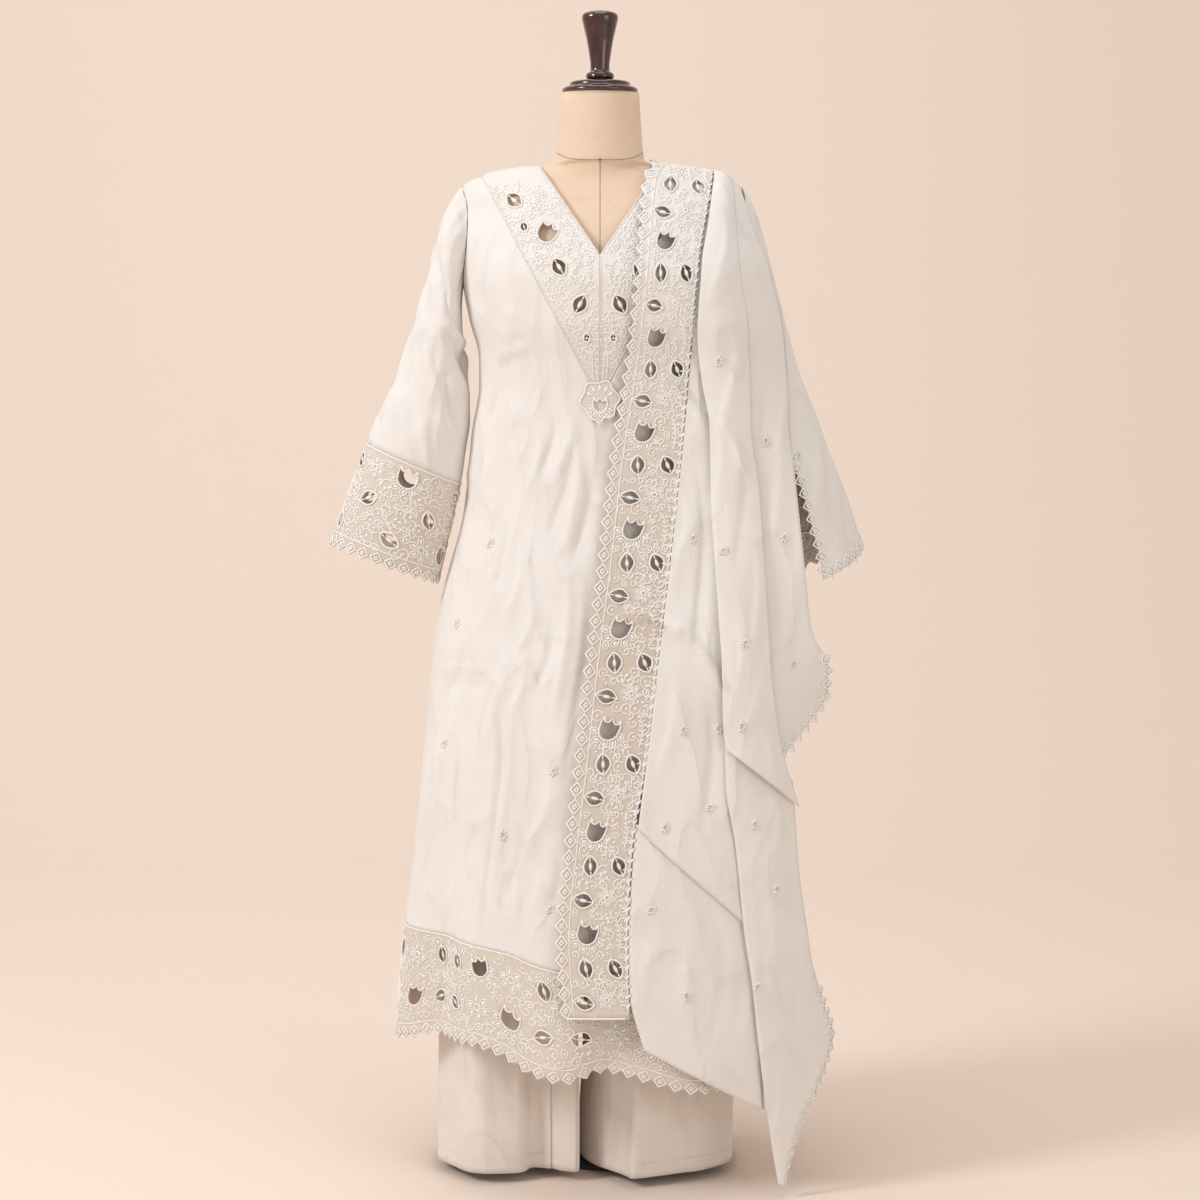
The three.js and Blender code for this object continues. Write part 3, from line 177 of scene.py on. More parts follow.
def woven(name, light, shade, thread, crumple, slub, coordinates="UV"):
    """Plain-woven cloth: over-under threads, uneven slubs along and across, and soft crumpling,
    with painted shade in thin darker lines along its creases.
    """
    material, shader, node, join = finish_of(name, light, 0.86, 0.1)
    place = node("ShaderNodeTexCoord").outputs[coordinates]
    patches = node("ShaderNodeTexNoise", Scale=9.0, Detail=5.0, Roughness=0.6)
    join(node("ShaderNodeTexCoord").outputs["Object"], patches.inputs["Vector"])
    slubs = []
    for scale in ((130, 900, 500), (900, 130, 500)):
        stretch = node("ShaderNodeMapping")
        stretch.inputs["Scale"].default_value = scale
        streaks = node("ShaderNodeTexNoise", Scale=1.0, Detail=3.0, Roughness=0.55)
        join(place, stretch.inputs["Vector"])
        join(stretch.outputs["Vector"], streaks.inputs["Vector"])
        slubs.append(streaks.outputs["Fac"])
    grain = node("ShaderNodeMath", operation="ADD")
    join(slubs[0], grain.inputs[0])
    join(slubs[1], grain.inputs[1])
    tone = node("ShaderNodeMath", operation="MULTIPLY_ADD")
    tone.inputs[1].default_value = 0.35
    join(grain.outputs[0], tone.inputs[0])
    join(patches.outputs["Fac"], tone.inputs[2])
    hanging = node("ShaderNodeMapping")
    hanging.inputs["Scale"].default_value = (17, 17, 7)
    creased = node("ShaderNodeTexNoise", noise_type="RIDGED_MULTIFRACTAL", Scale=1.0, Detail=2.0)
    creased.inputs["Roughness"].default_value = 0.4
    creased.inputs["Offset"].default_value = 1.0
    creased.inputs["Distortion"].default_value = 0.4
    join(node("ShaderNodeTexCoord").outputs["Object"], hanging.inputs["Vector"])
    join(hanging.outputs["Vector"], creased.inputs["Vector"])
    # Painted shade: thin darker lines along the ridges of the crumpled pattern, as the shadows in fine
    # creases.
    lines = node("ShaderNodeMapRange")
    lines.inputs["From Min"].default_value = 1.12
    lines.inputs["From Max"].default_value = 1.42
    lines.inputs["To Max"].default_value = -0.20
    join(creased.outputs["Fac"], lines.inputs["Value"])
    tone_and_crease_shade = node("ShaderNodeMath", operation="ADD")
    join(tone.outputs[0], tone_and_crease_shade.inputs[0])
    join(lines.outputs["Result"], tone_and_crease_shade.inputs[1])
    ramp = node("ShaderNodeValToRGB")
    ramp.color_ramp.elements[0].position = 0.62
    ramp.color_ramp.elements[0].color = (*shade, 1)
    ramp.color_ramp.elements[1].position = 1.0
    ramp.color_ramp.elements[1].color = (*light, 1)
    join(tone_and_crease_shade.outputs[0], ramp.inputs["Fac"])
    join(ramp.outputs["Color"], shader.inputs["Base Color"])
    threads = []
    for direction in ("X", "Y"):
        wave = node("ShaderNodeTexWave", bands_direction=direction, Scale=0.314 / (thread * MM))
        join(place, wave.inputs["Vector"])
        threads.append(wave.outputs["Fac"])
    weave = node("ShaderNodeMath", operation="MULTIPLY")
    join(threads[0], weave.inputs[0])
    join(threads[1], weave.inputs[1])
    height = None
    steps = ((creased.outputs["Fac"], crumple), (grain.outputs[0], slub), (weave.outputs[0], 0.05))
    for source, depth in steps:
        bump = node("ShaderNodeBump", Strength=1.0, Distance=depth * MM)
        join(source, bump.inputs["Height"])
        if height is not None:
            join(height, bump.inputs["Normal"])
        height = bump.outputs["Normal"]
    join(height, shader.inputs["Normal"])
    return material


def cord_tree():
    """Geometry nodes: every chain of edges becomes a cord, with four sides to its section."""
    tree = bpy.data.node_groups.new("corded_line", "GeometryNodeTree")
    for label, kind in (("Lines", "Geometry"), ("Radius", "Float"), ("Thread", "Material")):
        tree.interface.new_socket(label, in_out="INPUT", socket_type=f"NodeSocket{kind}")
    tree.interface.new_socket("Cords", in_out="OUTPUT", socket_type="NodeSocketGeometry")
    given, result = tree.nodes.new("NodeGroupInput"), tree.nodes.new("NodeGroupOutput")
    line = tree.nodes.new("GeometryNodeMeshToCurve")
    section = tree.nodes.new("GeometryNodeCurvePrimitiveCircle")
    section.inputs["Resolution"].default_value = 4
    sweep = tree.nodes.new("GeometryNodeCurveToMesh")
    sweep.inputs["Fill Caps"].default_value = True
    real = tree.nodes.new("GeometryNodeRealizeInstances")
    colour = tree.nodes.new("GeometryNodeSetMaterial")
    tree.links.new(given.outputs["Lines"], line.inputs["Mesh"])
    tree.links.new(given.outputs["Radius"], section.inputs["Radius"])
    tree.links.new(line.outputs["Curve"], sweep.inputs["Curve"])
    tree.links.new(section.outputs["Curve"], sweep.inputs["Profile Curve"])
    tree.links.new(sweep.outputs["Mesh"], real.inputs["Geometry"])
    tree.links.new(real.outputs["Geometry"], colour.inputs["Geometry"])
    tree.links.new(given.outputs["Thread"], colour.inputs["Material"])
    tree.links.new(colour.outputs["Geometry"], result.inputs["Cords"])
    return tree


def grown(piece, tree, **inputs):
    """Runs a tree on a piece with the named inputs and keeps the result as its plain mesh."""
    modifier = piece.modifiers.new("made", "NODES")
    modifier.node_group = tree
    for item in tree.interface.items_tree:
        if item.in_out == "INPUT" and item.name in inputs:
            modifier[item.identifier] = inputs[item.name]
    bpy.context.view_layer.update()
    evaluated = piece.evaluated_get(bpy.context.evaluated_depsgraph_get())
    mesh = bpy.data.meshes.new_from_object(evaluated)
    piece.modifiers.clear()
    piece.data = mesh
    for face in mesh.polygons:
        face.use_smooth = True
    return piece


CORDS = cord_tree()


def cords(name, chains, radius, thread):
    """Cords along chains of points; a chain that ends where it starts is a loop."""
    points, edges = [], []
    for chain in chains:
        chain = np.asarray(chain, float)
        loop = np.linalg.norm(chain[0] - chain[-1]) < 0.05
        body = chain[:-1] if loop else chain
        first = len(points)
        points.extend(body)
        edges.extend((first + k, first + k + 1) for k in range(len(body) - 1))
        if loop:
            edges.append((first + len(body) - 1, first))
    piece = new_object(name, points, [], edges)
    return grown(piece, CORDS, Radius=radius * MM, Thread=thread)


def settle(piece, material=None, replaces=()):
    """Puts a finished piece on the part's one body, with its material."""
    if material is not None:
        piece.data.materials.clear()
        piece.data.materials.append(material)
    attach(piece, "root")
    if replaces:
        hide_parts(*replaces)
    return piece


FORM_TURNS = np.arange(96) * 3.75
NECK = table("z half front back", [
    (1496, 54, 50, 51), (1440, 57.5, 54, 54), (1412, 60, 55, 56), (1403, 63, 54, 56),
])
FORM = table("z half front back", [
    (1352, 186, 60, 66), (1327, 184, 74, 77), (1290, 178, 91, 85), (1235, 168, 110, 91),
    (1180, 160, 108, 90), (1120, 146, 94, 86), (1060, 126, 84, 80), (1010, 120, 80, 82),
    (950, 143, 90, 96), (880, 164, 99, 112), (820, 172, 104, 117), (745, 168, 106, 110),
])
FORM_RINGS = (1350, 1320, 1280, 1235, 1180, 1120, 1060, 1004, 976, 930, 850, 745)


def form_point(turn, z):
    """The form's shoulders lie just inside the kurta's."""
    body = lambda a, b: ring(KURTA, a, b)
    point = body(turn, z) - (CLOTH + 1.2) * normals(body, turn, z, 0.2)
    return point * (1, 0.9, 1)


neck_rings = [ring(NECK, FORM_TURNS, np.full(96, z), throat=None) for z in NECK["z"]]
shoulder_rings = [form_point(FORM_TURNS, np.full(96, z)) for z in (1398.0, 1393, 1386, 1378, 1368)]
torso_rings = [ring(FORM, FORM_TURNS, np.full(96, float(z)), throat=None) for z in FORM_RINGS]
form = closed_loft("form_cover", through(np.array(neck_rings + shoulder_rings + torso_rings), 4))
linen = woven("natural_linen", (0.86, 0.66, 0.505), (0.80, 0.60, 0.45), 0.8, 0.1, 0.25, "Object")
settle(form, linen, ["form_body"])

# Seams of the form: thin grooves where its linen panels are joined, their shade painted as a dark sunk thread
# round the neck's base and down the centre front, with the head of a dressmaker's pin where they meet.
seam_groove_shade = finish_of("seam_groove_shade", (0.20, 0.13, 0.08), 0.8)[0]


def on_form(turn, height):
    """The place on the form that a level line from outside meets first."""
    inward = Vector((-math.sin(math.radians(turn)), math.cos(math.radians(turn)), 0))
    start = Vector((0, 0, height * MM)) - 0.3 * inward
    return form.ray_cast(start, inward)[1] / MM


NECK_SEAM_BACK, NECK_SEAM_FRONT, FRONT_SEAM_FOOT = 1415, 1402, 1255
neck_turns = np.arange(-180, 181, 5.0)
neck_dip = mix(NECK_SEAM_BACK, NECK_SEAM_FRONT, smooth(np.cos(np.radians(neck_turns))))
neck_seam = [on_form(turn, height) for turn, height in zip(neck_turns, neck_dip)]
front_seam = [on_form(0, height) for height in np.arange(NECK_SEAM_FRONT, FRONT_SEAM_FOOT, -4.0)]
form_seams = cords("form_seams", [neck_seam, front_seam], 0.45, seam_groove_shade)
settle(form_seams)
PIN_RADIUS, PIN_DEEP, PIN_OUT = 1.7, 1.2, 0.8
pin_rings = []
for k in range(1, 8):
    lean = math.radians(180 * k / 8)
    turns = np.radians(np.arange(12) * 30)
    pin_rings.append(xyz(
        PIN_RADIUS * math.sin(lean) * np.cos(turns),
        front_seam[0].y - PIN_OUT - PIN_DEEP * math.sin(lean) * np.sin(turns),
        front_seam[0].z + PIN_RADIUS * math.cos(lean),
    ))
pin = closed_loft("pin_head", np.array(pin_rings))
pin_steel = finish_of("pin_steel", (0.10, 0.08, 0.07), 0.3)[0]
settle(pin, pin_steel)

# Neck cap and finial: turned hardwood, stained dark mahogany and varnished to a high gloss. The cap
# sits on the neck, and the finial is dowelled into it, with a bead at its foot and a domed top.
CAP = [
    (2, 1496.4), (40, 1496.4), (50.5, 1496.8), (52.3, 1498.2), (52.6, 1500.2), (51, 1502.8), (47, 1504.8),
    (43.5, 1505.6), (42.4, 1507), (41.8, 1509.2), (40, 1511.2), (35, 1512.6), (22, 1513.5), (2, 1514),
]
FINIAL = [
    (2, 1514.4), (14, 1514.4), (17.6, 1515.2), (19.3, 1517.3), (19.5, 1519.8), (18.4, 1522.6), (15.8, 1524.8),
    (13.8, 1526.2), (13.2, 1528.5), (13.2, 1532), (13.8, 1540), (16, 1555), (19.2, 1572), (22.8, 1587),
    (24.8, 1596), (25, 1600), (23.6, 1603.4), (19.5, 1606), (12, 1607.8), (2, 1608.5),
]


def turned(name, profile):
    turns = np.radians(np.arange(72) * 5.0)
    rings = [xyz(r * np.cos(turns), r * np.sin(turns), np.full(72, float(z))) for r, z in reversed(profile)]
    return closed_loft(name, through(np.array(rings), 4))


def polished_wood():
    material, shader, node, join = finish_of("polished_mahogany", (0.05, 0.008, 0.005), 0.22)
    place = node("ShaderNodeTexCoord").outputs["Object"]
    stretch = node("ShaderNodeMapping")
    stretch.inputs["Scale"].default_value = (60, 60, 6)
    grain = node("ShaderNodeTexNoise", Scale=3.0, Detail=6.0, Roughness=0.6, Distortion=0.8)
    ramp = node("ShaderNodeValToRGB")
    ramp.color_ramp.elements[0].position = 0.35
    ramp.color_ramp.elements[0].color = (0.012, 0.003, 0.003, 1)
    ramp.color_ramp.elements[1].position = 0.75
    ramp.color_ramp.elements[1].color = (0.11, 0.014, 0.007, 1)
    join(place, stretch.inputs["Vector"])
    join(stretch.outputs["Vector"], grain.inputs["Vector"])
    join(grain.outputs["Fac"], ramp.inputs["Fac"])
    join(ramp.outputs["Color"], shader.inputs["Base Color"])
    shader.inputs["Coat Weight"].default_value = 1.0
    shader.inputs["Coat Roughness"].default_value = 0.06
    return material


mahogany = polished_wood()
settle(turned("cap_turning", CAP), mahogany, ["neck_cap"])
settle(turned("finial_turning", FINIAL), mahogany, ["finial"])

# Stand: a steel pole in a cast iron plate, hidden by the trousers. Both are painted in matt black with
# a fine powder texture, and keep the shape that the frame gives them.
def powder_paint():
    material, shader, node, join = finish_of("powder_paint", (0.022, 0.021, 0.02), 0.55)
    grain = node("ShaderNodeTexNoise", Scale=900.0, Detail=3.0)
    join(node("ShaderNodeTexCoord").outputs["Object"], grain.inputs["Vector"])
    bump = node("ShaderNodeBump", Strength=0.6, Distance=0.15 * MM)
    join(grain.outputs["Fac"], bump.inputs["Height"])
    join(bump.outputs["Normal"], shader.inputs["Normal"])
    return material


paint = powder_paint()
for part in ("stand_pole", "stand_base"):
    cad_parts[part].data.materials.clear()
    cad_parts[part].data.materials.append(paint)

# Wide trousers: two straight legs of undyed slub cotton on a doubled waist casing, joined along the
# inner seam. The wearer's right leg carries a narrow pressed pleat, and both hems are turned up and
# top-stitched. Folds and creases are in the leg's own sizes.
def panel(name, surface, across, down, side, keep=None, join_ends=False):
    """A thin shell over a surface: a fine grid of quads with its weave laid along both directions."""
    a, b = np.meshgrid(across, down, indexing="ij")
    points = surface(a, b)
    rows, columns = a.shape
    step_a = np.linalg.norm(np.diff(points, axis=0), axis=-1)
    step_b = np.linalg.norm(np.diff(points, axis=1), axis=-1)
    u = np.concatenate([np.zeros((1, columns)), np.cumsum(step_a, axis=0)])
    v = np.concatenate([np.zeros((rows, 1)), np.cumsum(step_b, axis=1)], axis=1)
    u = u - u[rows // 2]
    flip = side * np.sign(across[-1] - across[0]) * np.sign(down[-1] - down[0]) < 0
    faces = []
    for i in range(rows - 1):
        for j in range(columns - 1):
            if keep is None or keep(across[i + 1], down[j]):
                first, second = i * columns + j, (i + 1) * columns + j
                quad = (first, second, second + 1, first + 1)
                faces.append(quad[::-1] if flip else quad)
    piece = new_object(name, points.reshape(-1, 3), faces)
    lay_weave(piece, u.ravel(), v.ravel())
    tidy_shell(piece, join_ends)
    return piece


def lay_weave(piece, u, v):
    """Gives a flat piece of cloth its own map, in metres along its threads."""
    places = np.stack([u, v], axis=-1) * MM
    corners = np.zeros(len(piece.data.loops), int)
    piece.data.loops.foreach_get("vertex_index", corners)
    layer = piece.data.uv_layers.new(name="weave")
    layer.data.foreach_set("uv", places[corners].astype(np.float32).ravel())


def tidy_shell(piece, join_ends):
    """Drops loose points, merges a tube's two ends and gives the cloth its thickness inwards."""
    made = bmesh.new()
    made.from_mesh(piece.data)
    bmesh.ops.delete(made, geom=[v for v in made.verts if not v.link_faces], context="VERTS")
    if join_ends:
        bmesh.ops.remove_doubles(made, verts=made.verts, dist=0.02 * MM)
    made.to_mesh(piece.data)
    made.free()
    wall = piece.modifiers.new("thickness", "SOLIDIFY")
    wall.thickness = CLOTH * MM
    wall.offset = -1.0


def soft_lines(rows, x, z):
    """Height of creases at each place: each is a ridge or trough along a bowed line,
    steep on its lower or left side and easy on the other."""
    lift = np.zeros(np.shape(x))
    for x0, z0, x1, z1, width, height in rows:
        run = np.array([x1 - x0, z1 - z0], float)
        length = np.hypot(*run)
        along = ((x - x0) * run[0] + (z - z0) * run[1]) / length
        bow = min(0.06 * length, 8) * np.sin(along / length * 5)
        off = ((x - x0) * run[1] - (z - z0) * run[0]) / length + bow
        reach = width * np.where(off > 0, 0.65, 1.4)
        ends = smooth(along / (0.3 * length)) * smooth((length - along) / (0.3 * length))
        lift = lift + height * ends * np.exp(-((off / reach) ** 2))
    return lift


def fold_lift(folds, turn):
    away = (turn[..., None] - folds["turn"] + 540) % 360 - 180
    return (folds["lift"] * np.exp(-((away / folds["spread"]) ** 2))).sum(-1)


CROTCH, JOIN_RUN, FLARE_TOP, FLARE_RUN = 690, 240, 640, 540
STRIP, STRIP_DEEP, GROOVE_DEEP, GROOVE_AWAY, GROOVE_WIDTH = (33, 60), 5, 11, 3.5, 2.6
STRIP_TURN, STRIP_REACH, LEG_GAP = 315, 14, 0.21
HIPS = table("z half front back", [
    (975.6, 136, 87.5, 92.5), (930, 158, 101, 109), (880, 174, 108, 123), (820, 185, 114, 130),
    (745, 192, 120, 130), (690, 196, 124, 130),
])
LEFT_LEG = table("z centre half front back", [
    (690, 98, 98, 124, 130), (450, 91, 107, 132, 118), (200, 82, 106, 144, 108), (14, 78, 110, 146, 104),
])
RIGHT_LEG = table("z centre half front back", [
    (690, 98, 98, 124, 130), (450, 124, 104, 128, 118), (200, 132, 96, 132, 108), (14, 134, 97, 136, 104),
])
LEFT_LEG_FOLDS = table("turn spread lift", [
    (345, 11, 18), (18, 11, -6), (60, 13, 8), (130, 15, 10), (160, 14, -8), (200, 15, 9),
])
RIGHT_LEG_FOLDS = table("turn spread lift", [
    (313, 7, 46), (332, 8, -14), (25, 15, 8), (62, 12, 6), (135, 15, -8), (170, 14, 9),
])
SHARED_CREASES = [
    (110, 420, 128, 30, 9, -2.4), (150, 330, 158, 20, 8, 2.2), (86, 300, 92, 30, 7, -1.8),
    (60, 120, 110, 96, 6, 1.0), (128, 180, 176, 150, 7, -1.2), (180, 260, 196, 30, 9, 2.0),
    (96, 210, 60, 150, 8, -1.0),
]
LEFT_CREASES = SHARED_CREASES + [
    (49, 640, 48, -160, 5, 5.5), (34, 420, 38, -100, 9, -3.0), (15, 260, 22, 10, 7, -1.4),
]
RIGHT_CREASES = SHARED_CREASES + [(166, 400, 160, -60, 7, 2.0)]


def leg_surface(side, rows, folds, creases, pleated):
    """One leg: half of the hips down to the crotch, then its own tube, with the pleat as a raised strip."""
    def surface(turn, z):
        c, s = np.cos(np.radians(turn)), np.sin(np.radians(turn))
        high = np.maximum(z, CROTCH)
        front = np.where(z > CROTCH, curve(HIPS, "z", "front", high), curve(rows, "z", "front", z))
        back = np.where(z > CROTCH, curve(HIPS, "z", "back", high), curve(rows, "z", "back", z))
        deep = np.where(c > 0, front, back)
        outer_x = np.where(turn > 180, LEG_GAP, np.maximum(LEG_GAP, curve(HIPS, "z", "half", high) * s))
        outer_y = np.where(turn > 180, mix(back, -front, (turn - 180) / 180), -deep * c)
        lift = fold_lift(folds, turn) * smooth((FLARE_TOP - z) / FLARE_RUN)
        half, centre = curve(rows, "z", "half", z), curve(rows, "z", "centre", z)
        share = smooth((CROTCH - z) / JOIN_RUN)
        x = mix(outer_x, centre + (half + lift) * s, share)
        y = mix(outer_y, -(deep + lift) * c, share)
        box = STRIP_DEEP * smooth((x - STRIP[0]) / 3) * smooth((STRIP[1] - x) / 2)
        box = box - GROOVE_DEEP * np.exp(-(((x - STRIP[1] - GROOVE_AWAY) / GROOVE_WIDTH) ** 2))
        box = box * (np.abs(turn - STRIP_TURN) < STRIP_REACH)
        crease = (soft_lines(creases, x, z) + pleated * box) * share
        return xyz(side * (x + crease * s), y - crease * c, z)
    return surface


trouser_cotton = woven("slub_cotton", (0.87, 0.795, 0.73), (0.80, 0.715, 0.645), 0.8, 2.0, 0.3)
thread_cream = finish_of("cream_thread", (0.80, 0.74, 0.66), 0.75, 0.2)[0]
HEM_STITCH = 34
plain_turns = np.concatenate([np.arange(0, 180, 3.0), np.arange(180, 290, 5.0), np.arange(290, 361, 2.0)])
strip_turns = np.concatenate([
    plain_turns[plain_turns < 304], np.arange(304, 330, 0.4), np.arange(330, 361, 2.0),
])
leg_drop = np.concatenate([np.arange(975.6, 691, -8), np.arange(690, 15, -7.5), [14]])
LEGS = [
    ("left", 1, LEFT_LEG, LEFT_LEG_FOLDS, LEFT_CREASES, 0),
    ("right", -1, RIGHT_LEG, RIGHT_LEG_FOLDS, RIGHT_CREASES, 1),
]
for label, side, rows, folds, creases, pleated in LEGS:
    surface = leg_surface(side, rows, folds, creases, pleated)
    leg = panel(
        f"leg_{label}", surface, strip_turns if pleated else plain_turns, leg_drop, side,
        keep=lambda turn, z: turn <= 180 or z <= CROTCH, join_ends=True,
    )
    hem_turns = np.arange(0, 361, 3.0)
    hem_heights = np.full(len(hem_turns), HEM_STITCH, float)
    outward = normals(surface, hem_turns, hem_heights, 0.4) * side
    stitched = surface(hem_turns, hem_heights) + 0.15 * outward
    stitches = cords(f"leg_{label}_hem_stitches", [stitched], 0.35, thread_cream)
    settle(leg, trouser_cotton, [f"trouser_leg_{label}"])
    settle(stitches)


WAIST_TOP, WAIST_FOOT, WAIST_OUT, GATHERS, GATHER_DEEP = 1004, 976, 3.3, 48, 0.7


def waist_surface(turn, z):
    point = ring(FORM, turn, z, throat=None)
    out = xyz(np.sin(np.radians(turn)), -np.cos(np.radians(turn)), 0 * z)
    swell = np.sin(math.pi * (z - WAIST_FOOT) / (WAIST_TOP - WAIST_FOOT))
    ripple = GATHER_DEEP * np.cos(np.radians(turn * GATHERS)) * swell
    return point + (WAIST_OUT + ripple[..., None]) * out


waist_rows = np.linspace(WAIST_TOP, WAIST_FOOT, 8)
waist = panel("waist_casing", waist_surface, np.arange(0, 361, 1.5), waist_rows, 1, join_ends=True)
settle(waist, trouser_cotton, ["trouser_waistband"])

# Kurta: long tunic of off-white cotton voile, a front and a back joined at the shoulders and sides,
# shaped by a princess dart over the bust and flaring into soft vertical folds. It is worn open at a
# deep V and lies in small creases where it was folded.
FOLD_START, FOLD_FULL, FOLD_RUN = 1000, 150, 810
SKIRT_FOLDS = table("turn spread lift", [
    (-72, 9, 8), (-54, 9, -20), (-34, 10, 7), (-10, 9, 13), (4, 8, -15), (27, 11, 13), (50, 10, -14),
    (71, 9, 9), (113, 10, -13), (137, 11, 12), (160, 10, -12), (184, 11, 13), (208, 10, -13),
    (232, 11, 11), (252, 9, -11),
])
HEM_LINE = table("turn hem band", [
    (-90, 192, 346), (-72, 190, 347), (-54, 207, 345), (-36, 207, 341), (-27, 197, 336), (-18, 175, 323),
    (-9, 167, 316), (0, 179, 313), (9, 170, 309), (27, 148, 301), (63, 168, 318), (90, 190, 338),
    (135, 188, 336), (180, 184, 332), (225, 188, 338), (270, 192, 346),
])
SEAM = 0.3
NECK_HALF, NECK_TOP, NECK_VEE = 84, 1398, 1272
YOKE_TIP, YOKE_SPREAD = 1076, 0.532
SKIRT_TOP, BAND_LINE, PRESSED, BACK_PRESSED = 700, 340, 1.7, 1.3
ARMHOLE_Z, ARMHOLE_HIGH, ARMHOLE_DEEP = 1300, 68, 34
# Creases from one place to another on the front: their width and height, in millimetres.
FRONT_CREASES = [
    (-91, 1237, -91, 1142, 3, 0.9), (-91, 1142, -102, 1050, 3, 0.9), (-102, 1050, -114, 965, 3, 0.8),
    (-142, 1110, -94, 1143, 4, -2.2), (-146, 1122, -92, 1154, 4, 1.6), (-139, 1146, -91, 1162, 4, -1.2),
    (-128, 1128, -86, 1133, 3, 1.0), (-144, 1108, -149, 1040, 6, -2.6), (-134, 1084, -112, 1040, 5, 1.6),
    (-66, 1066, -76, 960, 6, -2.2), (-40, 1064, -58, 960, 7, 2.4), (-36, 1046, -40, 850, 7, 2.8),
    (-20, 1000, -27, 840, 9, -3.4), (-86, 1050, -94, 930, 6, 1.8), (-52, 1010, -62, 880, 6, -2.0),
    (-153, 1204, -126, 1166, 6, -1.4), (-140, 1182, -92, 1197, 7, 1.0), (-168, 1250, -140, 1180, 8, 1.2),
    (-150, 980, -158, 860, 7, 1.8), (-133, 930, -140, 800, 6, -2.0), (-110, 900, -122, 760, 6, 1.7),
    (-135, 770, -150, 590, 8, 3.0), (-148, 620, -156, 350, 8, 3.2), (-133, 715, -139, 350, 6, 3.0),
    (-142, 690, -147, 380, 6, -4.4), (-90, 815, -108, 725, 6, 2.4), (-105, 740, -114, 640, 6, 2.0),
    (-70, 800, -82, 660, 7, -2.2), (-50, 868, -56, 620, 6, 2.2), (-17, 870, -40, 545, 9, -3.0),
    (-174, 790, -208, 580, 8, 2.0), (-190, 760, -214, 640, 7, -2.0), (-203, 840, -223, 700, 6, 1.8),
    (-225, 696, -146, 713, 4, 1.7), (-222, 676, -154, 693, 4, -1.6), (-131, 613, -38, 596, 3, 1.3),
    (-88, 757, -30, 754, 3, 1.2), (-90, 821, -48, 811, 3, 1.0), (-232, 524, -182, 508, 4, 1.4),
    (-186, 510, -160, 492, 4, 1.2), (-83, 450, -90, 380, 6, 2.0), (-71, 585, -95, 450, 7, 2.0),
    (-190, 470, -204, 370, 8, 1.8), (-110, 520, -118, 400, 6, -1.6), (-62, 480, -68, 360, 7, -1.8),
    (-200, 905, -186, 990, 7, 1.6), (-176, 905, -166, 1010, 7, -1.6), (20, 700, 10, 520, 9, 2.4),
    (60, 640, 44, 400, 9, -2.4), (120, 900, 132, 700, 9, 2.2), (160, 1010, 176, 840, 9, -2.0),
    (100, 1180, 130, 1130, 7, 1.4), (98, 1240, 100, 1100, 3, 0.9), (200, 760, 226, 560, 9, 2.2),
    (150, 600, 160, 400, 8, -2.2), (-20, 560, -28, 400, 8, 1.6),
]
BACK_CREASES = [
    (0, 1340, 6, 1240, 9, 1.6), (-60, 1330, -30, 1250, 9, -1.6), (70, 1320, 40, 1240, 9, 1.4),
    (-96, 1300, -98, 1150, 3, 0.9), (-98, 1150, -116, 960, 3, 0.9), (97, 1290, 99, 1150, 3, 0.9),
    (99, 1150, 118, 950, 3, 0.9), (-60, 1130, 56, 1118, 6, 1.8), (-48, 1108, 62, 1098, 5, -1.8),
    (-150, 1120, -104, 1100, 5, 1.5), (150, 1128, 108, 1104, 5, 1.5), (-40, 1050, -56, 880, 8, 2.4),
    (10, 1060, 4, 860, 8, -2.6), (60, 1040, 76, 860, 8, 2.2), (-100, 960, -126, 760, 8, -2.4),
    (-150, 900, -176, 700, 8, 2.2), (120, 940, 150, 740, 8, -2.4), (-20, 830, -30, 560, 9, 2.8),
    (40, 800, 54, 520, 9, -2.8), (100, 760, 118, 520, 8, 2.4), (-90, 740, -112, 480, 9, 2.6),
    (160, 700, 190, 480, 9, 2.2), (-180, 640, -206, 420, 9, -2.4), (-70, 560, -84, 360, 8, -2.2),
    (0, 520, 4, 350, 8, 2.0), (80, 500, 90, 350, 8, 1.8), (-160, 900, -60, 884, 4, 1.2),
    (20, 690, 120, 704, 4, 1.2), (-190, 590, -90, 610, 4, -1.2), (-20, 450, 90, 436, 4, 1.2),
]


def kurta_base(turn, z):
    below = FOLD_START - z
    grown = smooth(below / (FOLD_START - FOLD_FULL)) * np.clip(below / FOLD_RUN, 0, 1)
    lift = fold_lift(SKIRT_FOLDS, turn) * grown
    point = ring(KURTA, turn, z)
    return point + xyz(lift * np.sin(np.radians(turn)), -lift * np.cos(np.radians(turn)), 0)


def kurta_point(turn, z):
    point = kurta_base(turn, z)
    front = soft_lines(FRONT_CREASES, point[..., 0], z)
    back = soft_lines(BACK_CREASES, point[..., 0], z)
    front = front * mix(1, PRESSED, smooth(-point[..., 0] / 50))
    lift = np.where(np.cos(np.radians(turn)) > 0, front, BACK_PRESSED * back) * smooth((1390 - z) / 60)
    return point + lift[..., None] * normals(kurta_base, turn, z, 0.3)


def turn_at(x, z):
    return np.degrees(np.arcsin(np.minimum(1, x / curve(KURTA, "z", "half", z))))


def panel_end(z, key):
    """Turn where a panel ends: the side seam, or the armhole's edge."""
    deep = curve(KURTA, "z", key, z)
    limit = 90 - np.degrees(SEAM / 2 / deep)
    up = np.minimum(1, np.abs(z - ARMHOLE_Z) / ARMHOLE_HIGH)
    hole = np.degrees(np.arccos(np.minimum(1, ARMHOLE_DEEP * np.sqrt(1 - up * up) / deep)))
    return np.minimum(limit, hole)


def neck_edge(z):
    return np.maximum(0, NECK_HALF * (z - NECK_VEE) / (NECK_TOP - NECK_VEE))


def yoke_edge(z):
    return np.maximum(0, (z - YOKE_TIP) * YOKE_SPREAD)


